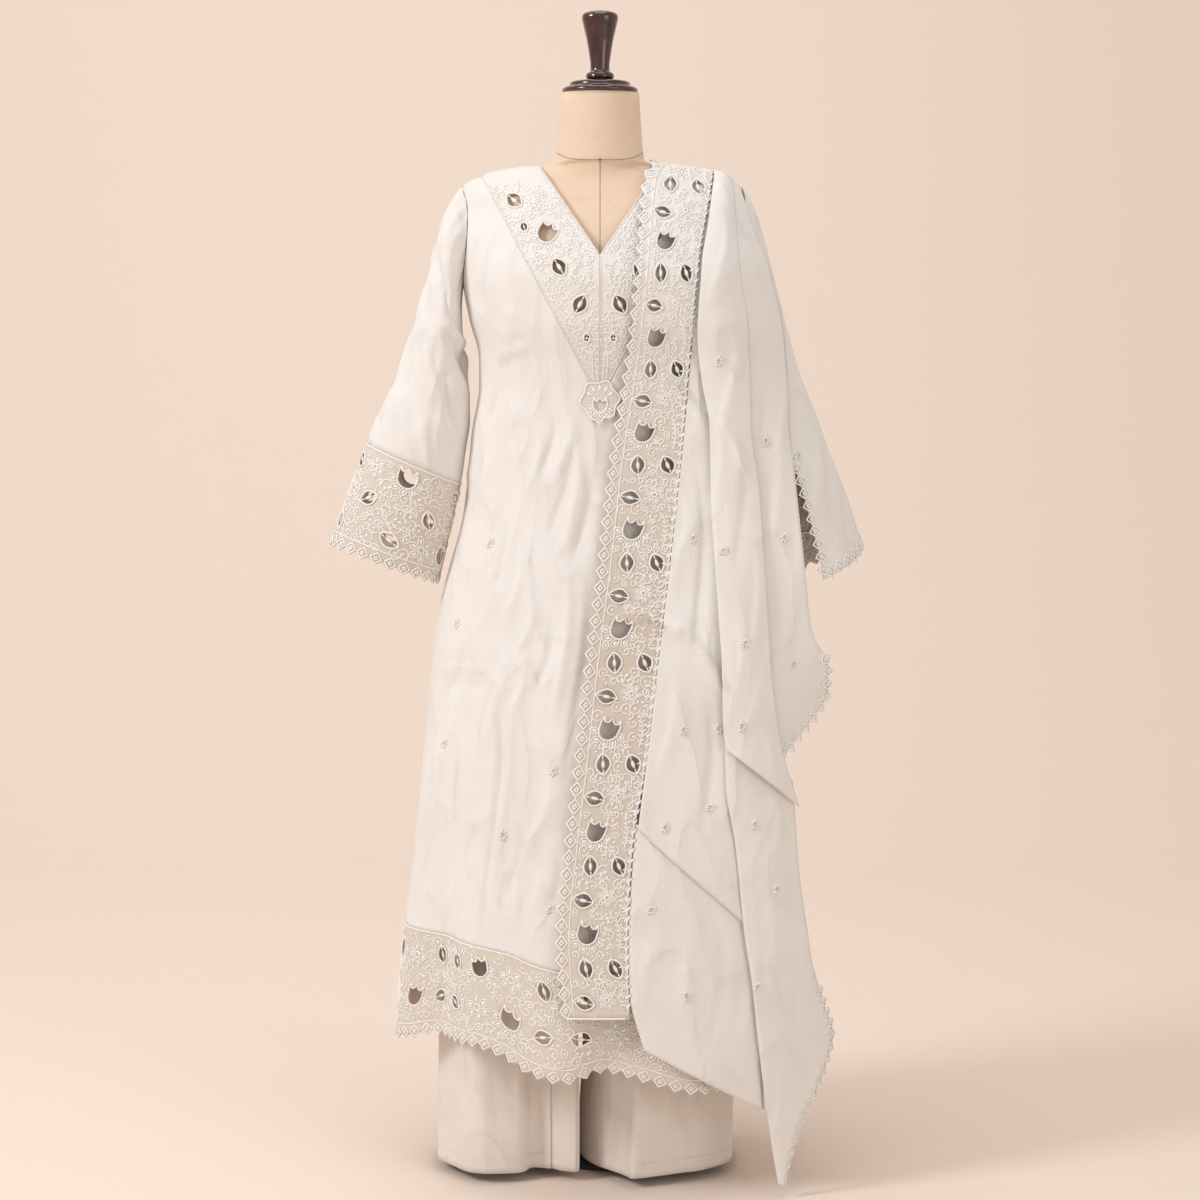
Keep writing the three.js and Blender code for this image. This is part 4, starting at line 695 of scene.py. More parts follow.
def skirt_height(turn, z):
    seam = curve(HEM_LINE, "turn", "band", turn) + SEAM
    return np.where(z >= SKIRT_TOP, z, mix(SKIRT_TOP, seam, (SKIRT_TOP - z) / (SKIRT_TOP - BAND_LINE)))


def front_surface(a, z):
    side = np.where(a < 0, -1, 1)
    start = np.where(z > YOKE_TIP, turn_at(yoke_edge(z) + SEAM, z), 0)
    end = panel_end(z, "front")
    turn = side * mix(np.minimum(start, end - 1.2), end, np.abs(a) / 90)
    return kurta_point(turn, skirt_height(turn, z))


def back_surface(a, z):
    turn = 180 + a / 90 * panel_end(z, "back")
    dip = 0.5 * np.cos(np.radians(a)) * np.maximum(0, z - 1380)
    return kurta_point(turn, skirt_height(turn, z) - dip)


voile = woven("cotton_voile", (0.87, 0.83, 0.80), (0.82, 0.77, 0.735), 0.7, 3.0, 0.16)
front_rows = np.concatenate([np.arange(1383, 1076, -5.5), [1076], np.arange(1071, 340, -5.5), [340]])
half_turn = np.concatenate([[1e-6], np.arange(1.0, 89.6, 1.0), [90]])
fronts = [
    panel("kurta_front_cloth", front_surface, half_turn, front_rows, 1),
    panel("kurta_front_other", front_surface, -half_turn, front_rows, 1),
]


def join_pieces(pieces):
    """One piece from several that share their edge points; it keeps the first one's name."""
    made = bmesh.new()
    for one in pieces:
        made.from_mesh(one.data)
    bmesh.ops.remove_doubles(made, verts=made.verts, dist=0.05 * MM)
    made.to_mesh(pieces[0].data)
    made.free()
    for extra in pieces[1:]:
        bpy.data.objects.remove(extra)
    return pieces[0]


kurta_front = join_pieces(fronts)
back_rows = np.concatenate([[1396, 1393, 1390, 1386.5], np.arange(1383, 340, -7.5), [340]])
kurta_back = panel("kurta_back_cloth", back_surface, np.linspace(-90, 90, 91), back_rows, 1)
settle(kurta_front, voile, ["kurta_front"])
settle(kurta_back, voile, ["kurta_back"])

# Hem lace: cutwork band of fine net, appliqued with corded leaves and tulips that are cut open, vines
# and loops between them, and an edge of lozenges. It is sewn under the corded seam at the skirt's foot.
HEM_BAND, HEM_TIP, HEM_REPEAT = 140, 7, 186.67
HEM_PER_DEGREE = HEM_BAND / 30
HEM_EYELETS = [
    (23.3, 30, "leaf", 62), (23.3, 90, "leaf", 24), (70, 30, "tulip", 165), (116.7, 90, "tulip", 195),
    (163.3, 30, "leaf", 70), (163.3, 90, "leaf", -18),
]
HEM_FLOWERS = [(70, 88, 20), (116.7, 34, 18)]


def leaf_outline(length, width, count=10):
    along = np.linspace(0, 1, count)
    half = 0.5 * width * np.sin(math.pi * along) ** 0.85
    upper = np.stack([length * (along - 0.5), half], axis=-1)
    return np.concatenate([upper, (upper * (1, -1))[-2:0:-1]])


def tulip_outline(size):
    turn = np.radians(np.linspace(180, 360, 11))
    cup = np.stack([0.5 * size * np.cos(turn), 0.5 * size * np.sin(turn)], axis=-1)
    tips = [(0.51, 0.22), (0.47, 0.5), (0.34, 0.38), (0.2, 0.36), (0.1, 0.44), (0, 0.6)]
    right = size * np.array(tips)
    return np.concatenate([cup, right, (right * (-1, 1))[-2::-1]])


def spiral_line(size):
    t = np.linspace(0.12, 1, 13)
    turn = 2 * math.pi * SPIRAL_TURNS * t
    return np.stack([size * t * np.cos(turn), size * t * np.sin(turn)], axis=-1)


def arc_line(radius, first, last, count=8):
    turn = np.radians(np.linspace(first, last, count))
    return np.stack([radius * np.cos(turn), radius * np.sin(turn)], axis=-1)


def polar(reach, turn):
    return reach * math.cos(math.radians(turn)), reach * math.sin(math.radians(turn))


def closed(line):
    return np.concatenate([line, line[:1]])


def moved(points, a, b, angle):
    c, s = math.cos(math.radians(angle)), math.sin(math.radians(angle))
    return np.asarray(points) @ np.array([[c, s], [-s, c]]) + (a, b)


def inside(points, outline):
    """Which points lie in a closed outline, by counting the edges that a line from each crosses."""
    x, y = points[:, 0, None], points[:, 1, None]
    x0, y0 = outline[:, 0], outline[:, 1]
    x1, y1 = np.roll(x0, -1), np.roll(y0, -1)
    crossing = (y0 > y) != (y1 > y)
    level = np.where(y1 == y0, 1, y1 - y0)
    return (crossing & (x < x0 + (y - y0) * (x1 - x0) / level)).sum(1) % 2 == 1


def scatter_tree():
    """Geometry nodes: one small shape on every point, turned and sized as the point says."""
    tree = bpy.data.node_groups.new("sewn_on_shapes", "GeometryNodeTree")
    for label, kind in (("Places", "Geometry"), ("Shape", "Object"), ("Thread", "Material")):
        tree.interface.new_socket(label, in_out="INPUT", socket_type=f"NodeSocket{kind}")
    tree.interface.new_socket("Shapes", in_out="OUTPUT", socket_type="NodeSocketGeometry")
    add, join = tree.nodes.new, tree.links.new
    given, result = add("NodeGroupInput"), add("NodeGroupOutput")
    shape, turn = add("GeometryNodeObjectInfo"), add("FunctionNodeEulerToRotation")
    place = add("GeometryNodeInstanceOnPoints")
    real = add("GeometryNodeRealizeInstances")
    colour = add("GeometryNodeSetMaterial")
    stored = {}
    for label in ("turn", "size"):
        stored[label] = add("GeometryNodeInputNamedAttribute")
        stored[label].data_type = "FLOAT_VECTOR"
        stored[label].inputs["Name"].default_value = label
    join(given.outputs["Shape"], shape.inputs["Object"])
    join(given.outputs["Places"], place.inputs["Points"])
    join(shape.outputs["Geometry"], place.inputs["Instance"])
    join(stored["turn"].outputs["Attribute"], turn.inputs["Euler"])
    join(turn.outputs["Rotation"], place.inputs["Rotation"])
    join(stored["size"].outputs["Attribute"], place.inputs["Scale"])
    join(place.outputs["Instances"], real.inputs["Geometry"])
    join(real.outputs["Geometry"], colour.inputs["Geometry"])
    join(given.outputs["Thread"], colour.inputs["Material"])
    join(colour.outputs["Geometry"], result.inputs["Shapes"])
    return tree


SEWN = scatter_tree()


def scattered(name, places, frames, sizes, shape, thread):
    """A copy of the shape at every place; a frame holds its heading, side and outward directions."""
    piece = new_object(name, places, [])
    turns = [Matrix(np.transpose(one).tolist()).to_euler() for one in frames]
    for label, values in (("turn", turns), ("size", sizes)):
        layer = piece.data.attributes.new(label, "FLOAT_VECTOR", "POINT")
        layer.data.foreach_set("vector", np.array(values, np.float32).ravel())
    return grown(piece, SEWN, Shape=shape, Thread=thread)


def petal_shape():
    """A satin-stitched petal, one unit long and half as wide and thick as its size says."""
    rim = np.stack([*leaf_outline(1, 1, 5).T, np.zeros(8)], axis=-1)
    crest = rim * (0.55, 0.5, 0) + (0, 0, 1)
    return closed_loft("petal_shape", np.array([crest, rim]) / MM)


def lozenge_shape():
    """Two diamonds, one inside the other, as flat raised rings one unit from middle to corner."""
    points, faces = [], []
    for outer, inner in ((1.08, 0.76), (0.44, 0.14)):
        first = len(points)
        for reach, level in ((outer, 0), (outer * 0.97, 1), (inner * 1.04, 1), (inner, 0)):
            points += [(reach, 0, level), (0, reach, level), (-reach, 0, level), (0, -reach, level)]
        for line in range(4):
            this, after = first + 4 * line, first + 4 * ((line + 1) % 4)
            for k in range(4):
                faces.append((this + k, this + (k + 1) % 4, after + (k + 1) % 4, after + k))
    piece = new_object("lozenge_shape", np.array(points) / MM, faces)
    for face in piece.data.polygons:
        face.use_smooth = False
    return piece


def lace_net():
    """Fine knotted net of pale beige, with painted shade: tan low on the garment, where shade behind would
    show through, pale on the chest.
    """
    material, shader, node, join = finish_of("lace_net", (0.5, 0.4, 0.3), 0.85, 0.1)
    # Painted shade: by height, the net's colour runs from pale on the chest to tan below, darkest at mid
    # height.
    height = node("ShaderNodeSeparateXYZ")
    join(node("ShaderNodeTexCoord").outputs["Object"], height.inputs[0])
    ramp = node("ShaderNodeValToRGB")
    rows = [(0.15, (0.78, 0.70, 0.62)), (0.55, (0.70, 0.61, 0.53)), (0.76, (0.79, 0.71, 0.64))]
    rows += [(0.88, (0.92, 0.88, 0.85))]
    while len(ramp.color_ramp.elements) < len(rows):
        ramp.color_ramp.elements.new(0.5)
    for element, (place, color) in zip(ramp.color_ramp.elements, rows):
        element.position, element.color = place, (*color, 1)
    level = node("ShaderNodeMath", operation="MULTIPLY")
    level.inputs[1].default_value = 0.72
    join(height.outputs["Z"], level.inputs[0])
    join(level.outputs[0], ramp.inputs["Fac"])
    # Painted shade: the open cells between the threads are mixed a little towards dark brown, as shade seen
    # through them. The same pattern raises the threads.
    mesh_cells = node("ShaderNodeTexVoronoi", feature="DISTANCE_TO_EDGE", Scale=620.0)
    join(node("ShaderNodeTexCoord").outputs["UV"], mesh_cells.inputs["Vector"])
    cell_relief_and_shade = node("ShaderNodeMapRange")
    cell_relief_and_shade.inputs["From Max"].default_value = 0.12
    join(mesh_cells.outputs["Distance"], cell_relief_and_shade.inputs["Value"])
    net_colour_with_shade = node("ShaderNodeMix", data_type="RGBA")
    net_colour_with_shade.inputs["B"].default_value = (0.40, 0.31, 0.235, 1)
    share = node("ShaderNodeMath", operation="MULTIPLY")
    share.inputs[1].default_value = 0.16
    join(cell_relief_and_shade.outputs["Result"], share.inputs[0])
    join(share.outputs[0], net_colour_with_shade.inputs["Factor"])
    join(ramp.outputs["Color"], net_colour_with_shade.inputs["A"])
    join(net_colour_with_shade.outputs["Result"], shader.inputs["Base Color"])
    bump = node("ShaderNodeBump", Strength=0.7, Distance=0.12 * MM, invert=True)
    join(cell_relief_and_shade.outputs["Result"], bump.inputs["Height"])
    join(bump.outputs["Normal"], shader.inputs["Normal"])
    return material


PETAL, LOZENGE = petal_shape(), lozenge_shape()
net = lace_net()
cord_cotton = finish_of("cord_cotton", (0.95, 0.92, 0.885), 0.7, 0.2)[0]
satin_cotton = finish_of("satin_cotton", (0.95, 0.925, 0.895), 0.5, 0.2)[0]
TULIP_SIZE, LEAF_LENGTH, LEAF_WIDTH = 24, 26, 17
RIM_RADIUS, VINE_RADIUS, RIM_LIFT, VINE_LIFT = 1.35, 0.95, 0.6, 0.4
PETAL_THICK, LOZENGE_THICK, LOZENGE_HIGH = 0.9, 1.0, 8.6
SPIRAL_TURNS = 1.3
FILL_SHARES = (0.3, 0.28, 0.22, 0.2)


class Lace:
    """A flat design in millimetres, drawn across and down a band and laid on its surface."""

    def __init__(self, surface, side, seed):
        self.surface, self.side = surface, side
        self.chance = np.random.default_rng(seed)
        self.holes, self.islands, self.thick, self.thin = [], [], [], []
        self.petals, self.lozenges, self.busy = [], [], []

    def frames(self, flat, angle):
        flat = np.asarray(flat, float)
        a, b, step = flat[:, 0], flat[:, 1], 0.4
        across = self.surface(a + step, b) - self.surface(a - step, b)
        down = self.surface(a, b + step) - self.surface(a, b - step)
        out = self.side * np.cross(across, down)
        out /= np.maximum(np.linalg.norm(out, axis=-1, keepdims=True), 1e-9)
        c, s = np.cos(np.radians(angle))[:, None], np.sin(np.radians(angle))[:, None]
        head = c * across + s * down
        head -= (head * out).sum(-1, keepdims=True) * out
        head /= np.maximum(np.linalg.norm(head, axis=-1, keepdims=True), 1e-9)
        return np.stack([head, np.cross(out, head), out], axis=1)

    def laid(self, flat, lift):
        flat = np.asarray(flat, float)
        out = self.frames(flat, np.zeros(len(flat)))[:, 2]
        return self.surface(flat[:, 0], flat[:, 1]) + lift * out

    def leaf(self, a, b, angle, length=LEAF_LENGTH, width=LEAF_WIDTH):
        """A cut-open leaf: its corded rim, and a small leaf held in its middle on a stem."""
        self.holes.append(moved(leaf_outline(length, width), a, b, angle))
        self.thick.append(closed(moved(leaf_outline(length + 2.6, width + 2.2, 12), a, b, angle)))
        self.islands.append(moved(leaf_outline(length * 0.56, width * 0.3, 8), a, b, angle))
        stems = [(-0.52 * length, -0.27 * length), (0.27 * length, 0.52 * length)]
        self.thin.extend(moved([(x0, 0), (x1, 0)], a, b, angle) for x0, x1 in stems)
        self.petals.append((a, b, angle, 0.5 * length, 0.26 * width))
        self.busy.append((a, b, 0.6 * length))

    def tulip(self, a, b, angle, size=TULIP_SIZE):
        """A cut-open tulip with satin petals round its cup."""
        self.holes.append(moved(tulip_outline(size), a, b, angle))
        self.thick.append(closed(moved(tulip_outline(size + 2.2), a, b, angle)))
        for turn in (195, 233, 270, 307, 345):
            at = moved([polar(0.78 * size, turn)], a, b, angle)[0]
            self.petals.append((*at, turn + angle + 24, 10, 4.6))
            self.thin.append(closed(moved(leaf_outline(14, 8.4, 6), *at, turn + angle + 24)))
        for turn in (52, 128):
            at = moved([polar(0.72 * size, turn)], a, b, angle)[0]
            self.petals.append((*at, turn + angle, 8, 4))
        self.busy.append((a, b, 0.98 * size))

    def flower(self, a, b, size):
        """A rosette: satin petals round a corded middle."""
        self.thick.append(closed(moved(arc_line(0.24 * size, 0, 324, 10), a, b, 0)))
        for turn in range(15, 375, 60):
            at = np.add((a, b), polar(0.62 * size, turn))
            self.petals.append((*at, turn, 0.62 * size, 0.3 * size))
            self.thin.append(closed(moved(leaf_outline(0.78 * size, 0.46 * size, 7), *at, turn)))
        self.busy.append((a, b, 1.08 * size))

    def sprig(self, a, b, angle, length, leaves):
        """A bent stem with pairs of small leaves, as a fern has."""
        t = np.linspace(0, 1, leaves + 2)
        stem = np.stack([length * t, 0.1 * length * np.sin(math.pi * t)], axis=-1)
        self.thin.append(moved(stem, a, b, angle))
        for k in range(1, leaves + 1):
            for turn in (48, -48):
                at = moved([stem[k] + polar(3.4, turn)], a, b, angle)[0]
                self.petals.append((*at, turn + angle, 7.2, 2.6))
        for share in (0.2, 0.5, 0.8):
            at = moved([(length * share, 0)], a, b, angle)[0]
            self.busy.append((*at, 6.5))

    def edge(self, starts, ends, height, teeth):
        """Lozenges along a straight toothed edge, from one place to another."""
        starts, ends = np.array(starts, float), np.array(ends, float)
        run = (ends - starts) / teeth
        angle = math.degrees(math.atan2(run[1], run[0]))
        for k in range(teeth):
            middle = starts + run * (k + 0.5)
            self.lozenges.append((*middle, angle, 0.5 * np.linalg.norm(run), height))

    def fill(self, outline, spacing):
        """Small loops, curls, drops and petals between the main shapes, never two alike."""
        low, high = outline.min(0), outline.max(0)
        across = np.arange(low[0] + spacing / 2, high[0], spacing)
        down = np.arange(low[1] + spacing / 2, high[1], spacing * 0.87)
        places = [(a + (j % 2) * spacing / 2, b) for j, b in enumerate(down) for a in across]
        places = np.array(places) + self.chance.uniform(-0.2, 0.2, (len(places), 2)) * spacing
        busy = np.array(self.busy)
        away = np.linalg.norm(places[:, None] - busy[None, :, :2], axis=-1) - busy[None, :, 2]
        shrunk = outline.mean(0) + (outline - outline.mean(0)) * 0.97
        places = places[(away.min(1) > 0.16 * spacing) & inside(places, shrunk)]
        kinds = self.chance.choice(4, len(places), p=FILL_SHARES)
        turns = self.chance.uniform(0, 360, len(places))
        sizes = self.chance.uniform(0.85, 1.2, len(places)) * spacing
        for (a, b), kind, turn, size in zip(places, kinds, turns, sizes):
            if kind == 0:
                self.thin.append(moved(spiral_line(0.55 * size), a, b, turn))
            elif kind == 1:
                self.thin.append(closed(moved(leaf_outline(1.05 * size, 0.62 * size, 6), a, b, turn)))
                self.petals.append((a, b, turn, 0.6 * size, 0.26 * size))
            elif kind == 2:
                self.thin.append(moved(arc_line(0.6 * size, -130, 130, 8), a, b, turn))
                self.petals.append((a, b, turn + 90, 0.55 * size, 0.28 * size))
            else:
                ahead, beside = moved([(0.3 * size, 0), (-0.2 * size, 0.3 * size)], a, b, turn)
                self.petals.append((*ahead, turn, 0.6 * size, 0.3 * size))
                self.petals.append((*beside, turn + 70, 0.6 * size, 0.26 * size))
                self.thin.append(moved(arc_line(0.7 * size, 150, 300, 6), a, b, turn))

    def ground(self, name, outline, step):
        """The net itself, cut through at every hole, with the inner leaves in place."""
        rings = [outline, *self.holes]
        points, edges = [], []
        for line in rings:
            first, count = len(points), len(line)
            points.extend(line)
            edges.extend((first + k, first + (k + 1) % count) for k in range(count))
        low, high = outline.min(0), outline.max(0)
        across, down = (np.arange(low[k] + step / 2, high[k], step) for k in (0, 1))
        grid = np.stack(np.meshgrid(across, down), axis=-1).reshape(-1, 2)
        rims = np.array(points)
        near = np.zeros(len(grid), bool)
        for k in range(0, len(grid), 2000):
            gap = np.linalg.norm(grid[k:k + 2000, None] - rims[None], axis=-1).min(1)
            near[k:k + 2000] = gap < 0.45 * step
        points.extend(grid[inside(grid, outline) & ~near])
        cut = geometry.delaunay_2d_cdt([Vector(p) for p in points], edges, [], 1, 1e-4)
        spots = np.array([tuple(v) for v in cut[0]])
        faces = np.array([tuple(f) for f in cut[2]])
        middles = spots[faces].mean(1)
        kept = inside(middles, outline)
        for hole in self.holes:
            low, high = hole.min(0), hole.max(0)
            close = np.flatnonzero(((middles > low) & (middles < high)).all(1))
            kept[close[inside(middles[close], hole)]] = False
        faces = faces[kept].tolist()
        spots = list(spots)
        for island in self.islands:
            first, count = len(spots), len(island)
            spots.extend([*island, island.mean(0)])
            faces.extend((first + k, first + (k + 1) % count, first + count) for k in range(count))
        spots = np.array(spots)
        faces = [f if turns_left(spots[list(f)]) == (self.side > 0) else f[::-1] for f in faces]
        piece = new_object(name, self.laid(spots, 0), faces)
        lay_weave(piece, spots[:, 0], spots[:, 1])
        tidy_shell(piece, False)
        return piece

    def trimmings(self, name):
        """The cords, petals and lozenges sewn on the net."""
        made = []
        corded = (("rims", self.thick, RIM_RADIUS, RIM_LIFT), ("vines", self.thin, VINE_RADIUS, VINE_LIFT))
        for label, lines, radius, lift in corded:
            if lines:
                flat = self.laid(np.concatenate(lines), lift)
                chains = np.split(flat, np.cumsum([len(line) for line in lines])[:-1])
                made.append(cords(f"{name}_{label}", chains, radius, cord_cotton))
        sewn = (
            ("petals", self.petals, PETAL, satin_cotton, PETAL_THICK),
            ("lozenges", self.lozenges, LOZENGE, cord_cotton, LOZENGE_THICK),
        )
        for label, rows, shape, thread, thick in sewn:
            if rows:
                rows = np.array(rows, float)
                sizes = np.stack([rows[:, 3], rows[:, 4], np.full(len(rows), thick)], axis=-1) * MM
                frames = self.frames(rows[:, :2], rows[:, 2])
                spots = self.laid(rows[:, :2], 0.05)
                made.append(scattered(f"{name}_{label}", spots, frames, sizes, shape, thread))
        for piece in made:
            settle(piece)
        return made


def turns_left(corners):
    (x0, y0), (x1, y1), (x2, y2) = corners
    return (x1 - x0) * (y2 - y0) > (x2 - x0) * (y1 - y0)


def toothed(line, teeth, height, direction):
    """A straight edge from one place to another with even teeth, pointed the way that is given."""
    t = np.arange(2 * teeth + 1) / (2 * teeth)
    out = np.where(np.arange(2 * teeth + 1) % 2 == 1, height, 0)
    start, end = np.array(line, float)
    return start + (end - start) * t[:, None] + out[:, None] * np.array(direction)


def straight(start, end, step):
    count = max(1, round(math.dist(start, end) / step))
    return np.array(start) + (np.array(end, float) - start) * (np.arange(count) / count)[:, None]


def band_ground(lace, name, wide, long, teeth, spacing, fill_foot):
    """Finishes a hem's or a cuff's design: its lozenge edge, fill and border cords, then its net."""
    edge = toothed([(wide, long), (0, long)], teeth, HEM_TIP, (0, 1))
    outline = np.concatenate([
        straight((0, 0), (wide, 0), 6),
        straight((wide, 0), (wide, long), 6),
        edge[:-1],
        straight((0, long), (0, 0), 6),
    ])
    lace.edge((0, long - 2), (wide, long - 2), LOZENGE_HIGH, teeth)
    lace.fill(np.array([(3, 7), (wide - 3, 7), (wide - 3, fill_foot), (3, fill_foot)], float), spacing)
    lace.thin.append(straight((1, LOWER_CORD), (wide - 1, LOWER_CORD), 5))
    lace.thick.append(straight((0.5, UPPER_CORD), (wide - 0.5, UPPER_CORD), 5))
    return lace.ground(name, outline, 7)


UPPER_CORD, LOWER_CORD = 1.2, 127
HEM_TEETH, HEM_WIDE = 45, 840
for label, first_turn, seed in (("front", -90, 11), ("back", 90, 12)):
    def hem_surface(a, b, first_turn=first_turn):
        turn = first_turn + np.clip(a / HEM_PER_DEGREE, 0.04, 179.96)
        top = curve(HEM_LINE, "turn", "band", turn)
        bottom = curve(HEM_LINE, "turn", "hem", turn) + HEM_TIP
        return kurta_point(turn, mix(top, bottom, b / HEM_BAND))

    hem = Lace(hem_surface, -1, seed)
    for start in HEM_REPEAT * np.arange(5):
        for a, b, kind, angle in HEM_EYELETS:
            if start + a < HEM_WIDE - 15:
                getattr(hem, kind)(start + a, b, angle)
        for a, b, size in HEM_FLOWERS:
            if start + a < HEM_WIDE - 20:
                hem.flower(start + a, b, size)
    ground = band_ground(hem, f"hem_net_{label}", HEM_WIDE, HEM_BAND, HEM_TEETH, 12, 126)
    settle(ground, net, [f"hem_lace_{label}"])
    hem.trimmings(f"hem_{label}")

# Neck lace: the same cutwork in two halves along the V, which meet below it in a point. Both edges of
# each half are finished with a pair of cords and a ladder of stitches, and a cord runs down the middle.
NECK_EYELETS = [
    (117, 1347, "leaf", 40, 24, 18), (72, 1301, "tulip", 30, 24, 0), (55, 1255, "leaf", 58, 26, 18),
    (27, 1205, "leaf", 118, 27, 18), (103, 1310, "leaf", 75, 14, 9), (18, 1160, "leaf", 95, 12, 7),
]
NECK_JOIN = 1375
NECK_STRIP_ROWS = np.array([1397, 1394.5, 1392, 1389, 1386, 1382, 1378.5, NECK_JOIN])
LADDER_NEAR, LADDER_FAR = 1.3, 7.2


def yoke_turns(share, z, side):
    """Turns across one half of the yoke, from its neck edge at 0 to its outer edge at 1."""
    limit = 90 - np.degrees(SEAM / 2 / curve(KURTA, "z", "front", z))
    inner = turn_at(np.maximum(SEAM / 2, neck_edge(z)), z)
    outer = np.minimum(limit, turn_at(yoke_edge(z), z))
    return side * mix(np.minimum(inner, limit - 2), outer, share)


for label, side, seed in (("right", -1, 21), ("left", 1, 22)):
    def yoke_strip(share, z, side=side):
        return kurta_point(yoke_turns(share, z, side), z)

    def yoke_flat(x, z, side=side):
        return kurta_point(side * turn_at(x, z), z)

    shares = np.linspace(0, 1, 19)
    seam_turns = yoke_turns(shares, np.full(19, NECK_JOIN), 1)
    seam_x = curve(KURTA, "z", "half", NECK_JOIN) * np.sin(np.radians(seam_turns))
    half = Lace(yoke_flat, side, seed)
    for x, z, kind, angle, length, width in NECK_EYELETS:
        if kind == "leaf":
            half.leaf(x, z, angle, length, width)
        else:
            half.tulip(x, z, angle, length)
    half.sprig(88, 1352, 35, 34, 5)
    half.sprig(14, 1236, 78, 30, 5)
    half.flower(82, 1262, 15)
    outer = [(float(yoke_edge(z)), z) for z in np.arange(1370, 1083, -5.0)]
    centre = straight((SEAM / 2, 1083), (SEAM / 2, NECK_VEE), 6)
    neck = [(float(max(SEAM / 2, neck_edge(z))), z) for z in np.arange(NECK_VEE, NECK_JOIN, 5.0)]
    outline = np.array([*zip(seam_x, [NECK_JOIN] * 19), *outer, *centre, *neck], float)
    half.fill(np.array([(72, 1372), (152, 1372), (16, 1120), (4, 1120), (8, 1262)], float), 9.5)
    for x in (5, 11):
        half.thin.append(np.array([(x, 1118 + 2 * x), (x * 0.8, 1106), (x * 0.3, 1090)], float))
    for z in range(1112, 1190, 9):
        half.thin.append(np.array([(1, z), (float(yoke_edge(z)) - 8, z + 5)], float))
    ground = half.ground(f"neck_net_{label}", outline, 6)
    strip = panel(f"neck_strip_{label}", yoke_strip, shares, NECK_STRIP_ROWS, side)
    ground = join_pieces([ground, strip])
    settle(ground, net, [f"neck_lace_{label}"])
    trims = half.trimmings(f"neck_{label}")
    heights = np.arange(1396, 1096, -3.5)
    wide = np.maximum(yoke_edge(heights) - neck_edge(heights), 1)
    ladders = []
    for start in (0, 1):
        way = 1 - 2 * start
        keep = heights > (NECK_VEE if start == 0 else 0)
        z, w = heights[keep], wide[keep]
        rails = []
        for gap in (LADDER_NEAR, LADDER_FAR):
            rail = start + way * np.minimum(0.45, gap / w)
            rails.append(yoke_strip(rail, z) + 0.35 * side * normals(yoke_strip, rail, z, 0.002))
        ladders.extend(rails)
        ladders.extend(np.stack([rails[0][k], rails[1][k]]) for k in range(1, len(z), 2))
    middle = np.arange(1270, 1088, -5.0)
    centre_line = yoke_flat(np.full(len(middle), 1.3), middle) - (0, 0.5, 0)
    ladders.append(centre_line)
    trims.append(settle(cords(f"neck_ladder_{label}", ladders, 0.6, cord_cotton)))

# Neck flower: a small lobed patch of the same net, with a cut-open tulip and satin petals on it and
# lozenge stitches at its foot. It is sewn over the point where the two halves of the neck lace meet.
FLOWER_PETAL, FLOWER_NOTCH, FLOWER_TIP, FLOWER_LIFT = 29, 24, 8, 1.75


def flower_surface(x, z):
    return kurta_base(np.sign(x) * turn_at(np.abs(x), z), z) - (0, CLOTH + FLOWER_LIFT, 0)


around = np.arange(0, 360, 6.0)
lobes = mix(FLOWER_NOTCH, FLOWER_PETAL, 0.5 + 0.5 * np.cos(np.radians(6 * (around - 7.5))))
lobes = lobes + FLOWER_TIP * np.exp(-(((around - 270) / 9) ** 2))
lobed = np.stack([lobes * np.cos(np.radians(around)), lobes * np.sin(np.radians(around))], axis=-1)
tip = Lace(flower_surface, 1, 23)
tip.tulip(0, YOKE_TIP - 8, 0, 17)
tip.thick.append(closed(0.955 * lobed + (0, YOKE_TIP)))
for turn in (30, 60, 90, 120, 150):
    at = moved([(17, 0)], 0, YOKE_TIP, turn)[0]
    tip.petals.append((*at, turn, 11, 4.4))
tip.lozenges = [(x, z, 0, 4.4, 6) for x, z in ((-12, 1055), (12, 1055), (0, 1044.5))]
flower = tip.ground("neck_flower_net", lobed + (0, YOKE_TIP), 4)
settle(flower, net, ["neck_flower"])
tip.trimmings("neck_flower")

# Sleeves: wide bell sleeves of the same voile, gathered a little at the armhole. A corded seam joins
# each to its cuff, a front and a back half of the hem's cutwork. The wearer's left sleeve is pressed
# narrower by the dupatta over it.
SLEEVE = table("length outX outZ inX inZ deep", [
    (0, 191.5, 1368, 189.5, 1232, 34), (30, 208, 1344, 192, 1208, 46), (70, 222, 1307, 191, 1176, 50),
    (150, 243, 1228, 187, 1118, 50), (215, 261, 1166, 181, 1080, 50), (270, 278, 1114, 181, 1046, 50),
    (325, 303, 1064, 187, 1004, 52), (378, 325, 1015, 194, 958, 54), (450, 350, 948, 209, 892, 56),
    (525, 377, 873, 227, 817, 58),
])
CUFF_SEAM, SLEEVE_GAP, SLEEVE_BLEND, COVERED_SLEEVE = 378, 0.95, 34, 0.86
SLEEVE_CREASES = [
    (224, 1296, 214, 1210, 6, -4.0), (214, 1226, 190, 1134, 5, 4.4), (204, 1190, 176, 1090, 8, -5.0),
    (232, 1184, 296, 1096, 5, 3.0), (224, 1170, 286, 1082, 6, -2.6), (231, 1174, 217, 1050, 6, 3.4),
    (217, 1070, 199, 996, 6, 3.0), (205, 1230, 213, 1182, 4, -3.2), (252, 1130, 262, 1024, 8, -3.2),
    (276, 1100, 292, 1010, 8, 2.8), (240, 1244, 246, 1156, 8, 2.0), (206, 1124, 202, 1006, 6, -3.0),
    (200, 1344, 216, 1276, 7, 2.0), (236, 1060, 240, 980, 7, 2.4), (300, 1060, 318, 1006, 7, -2.2),
]


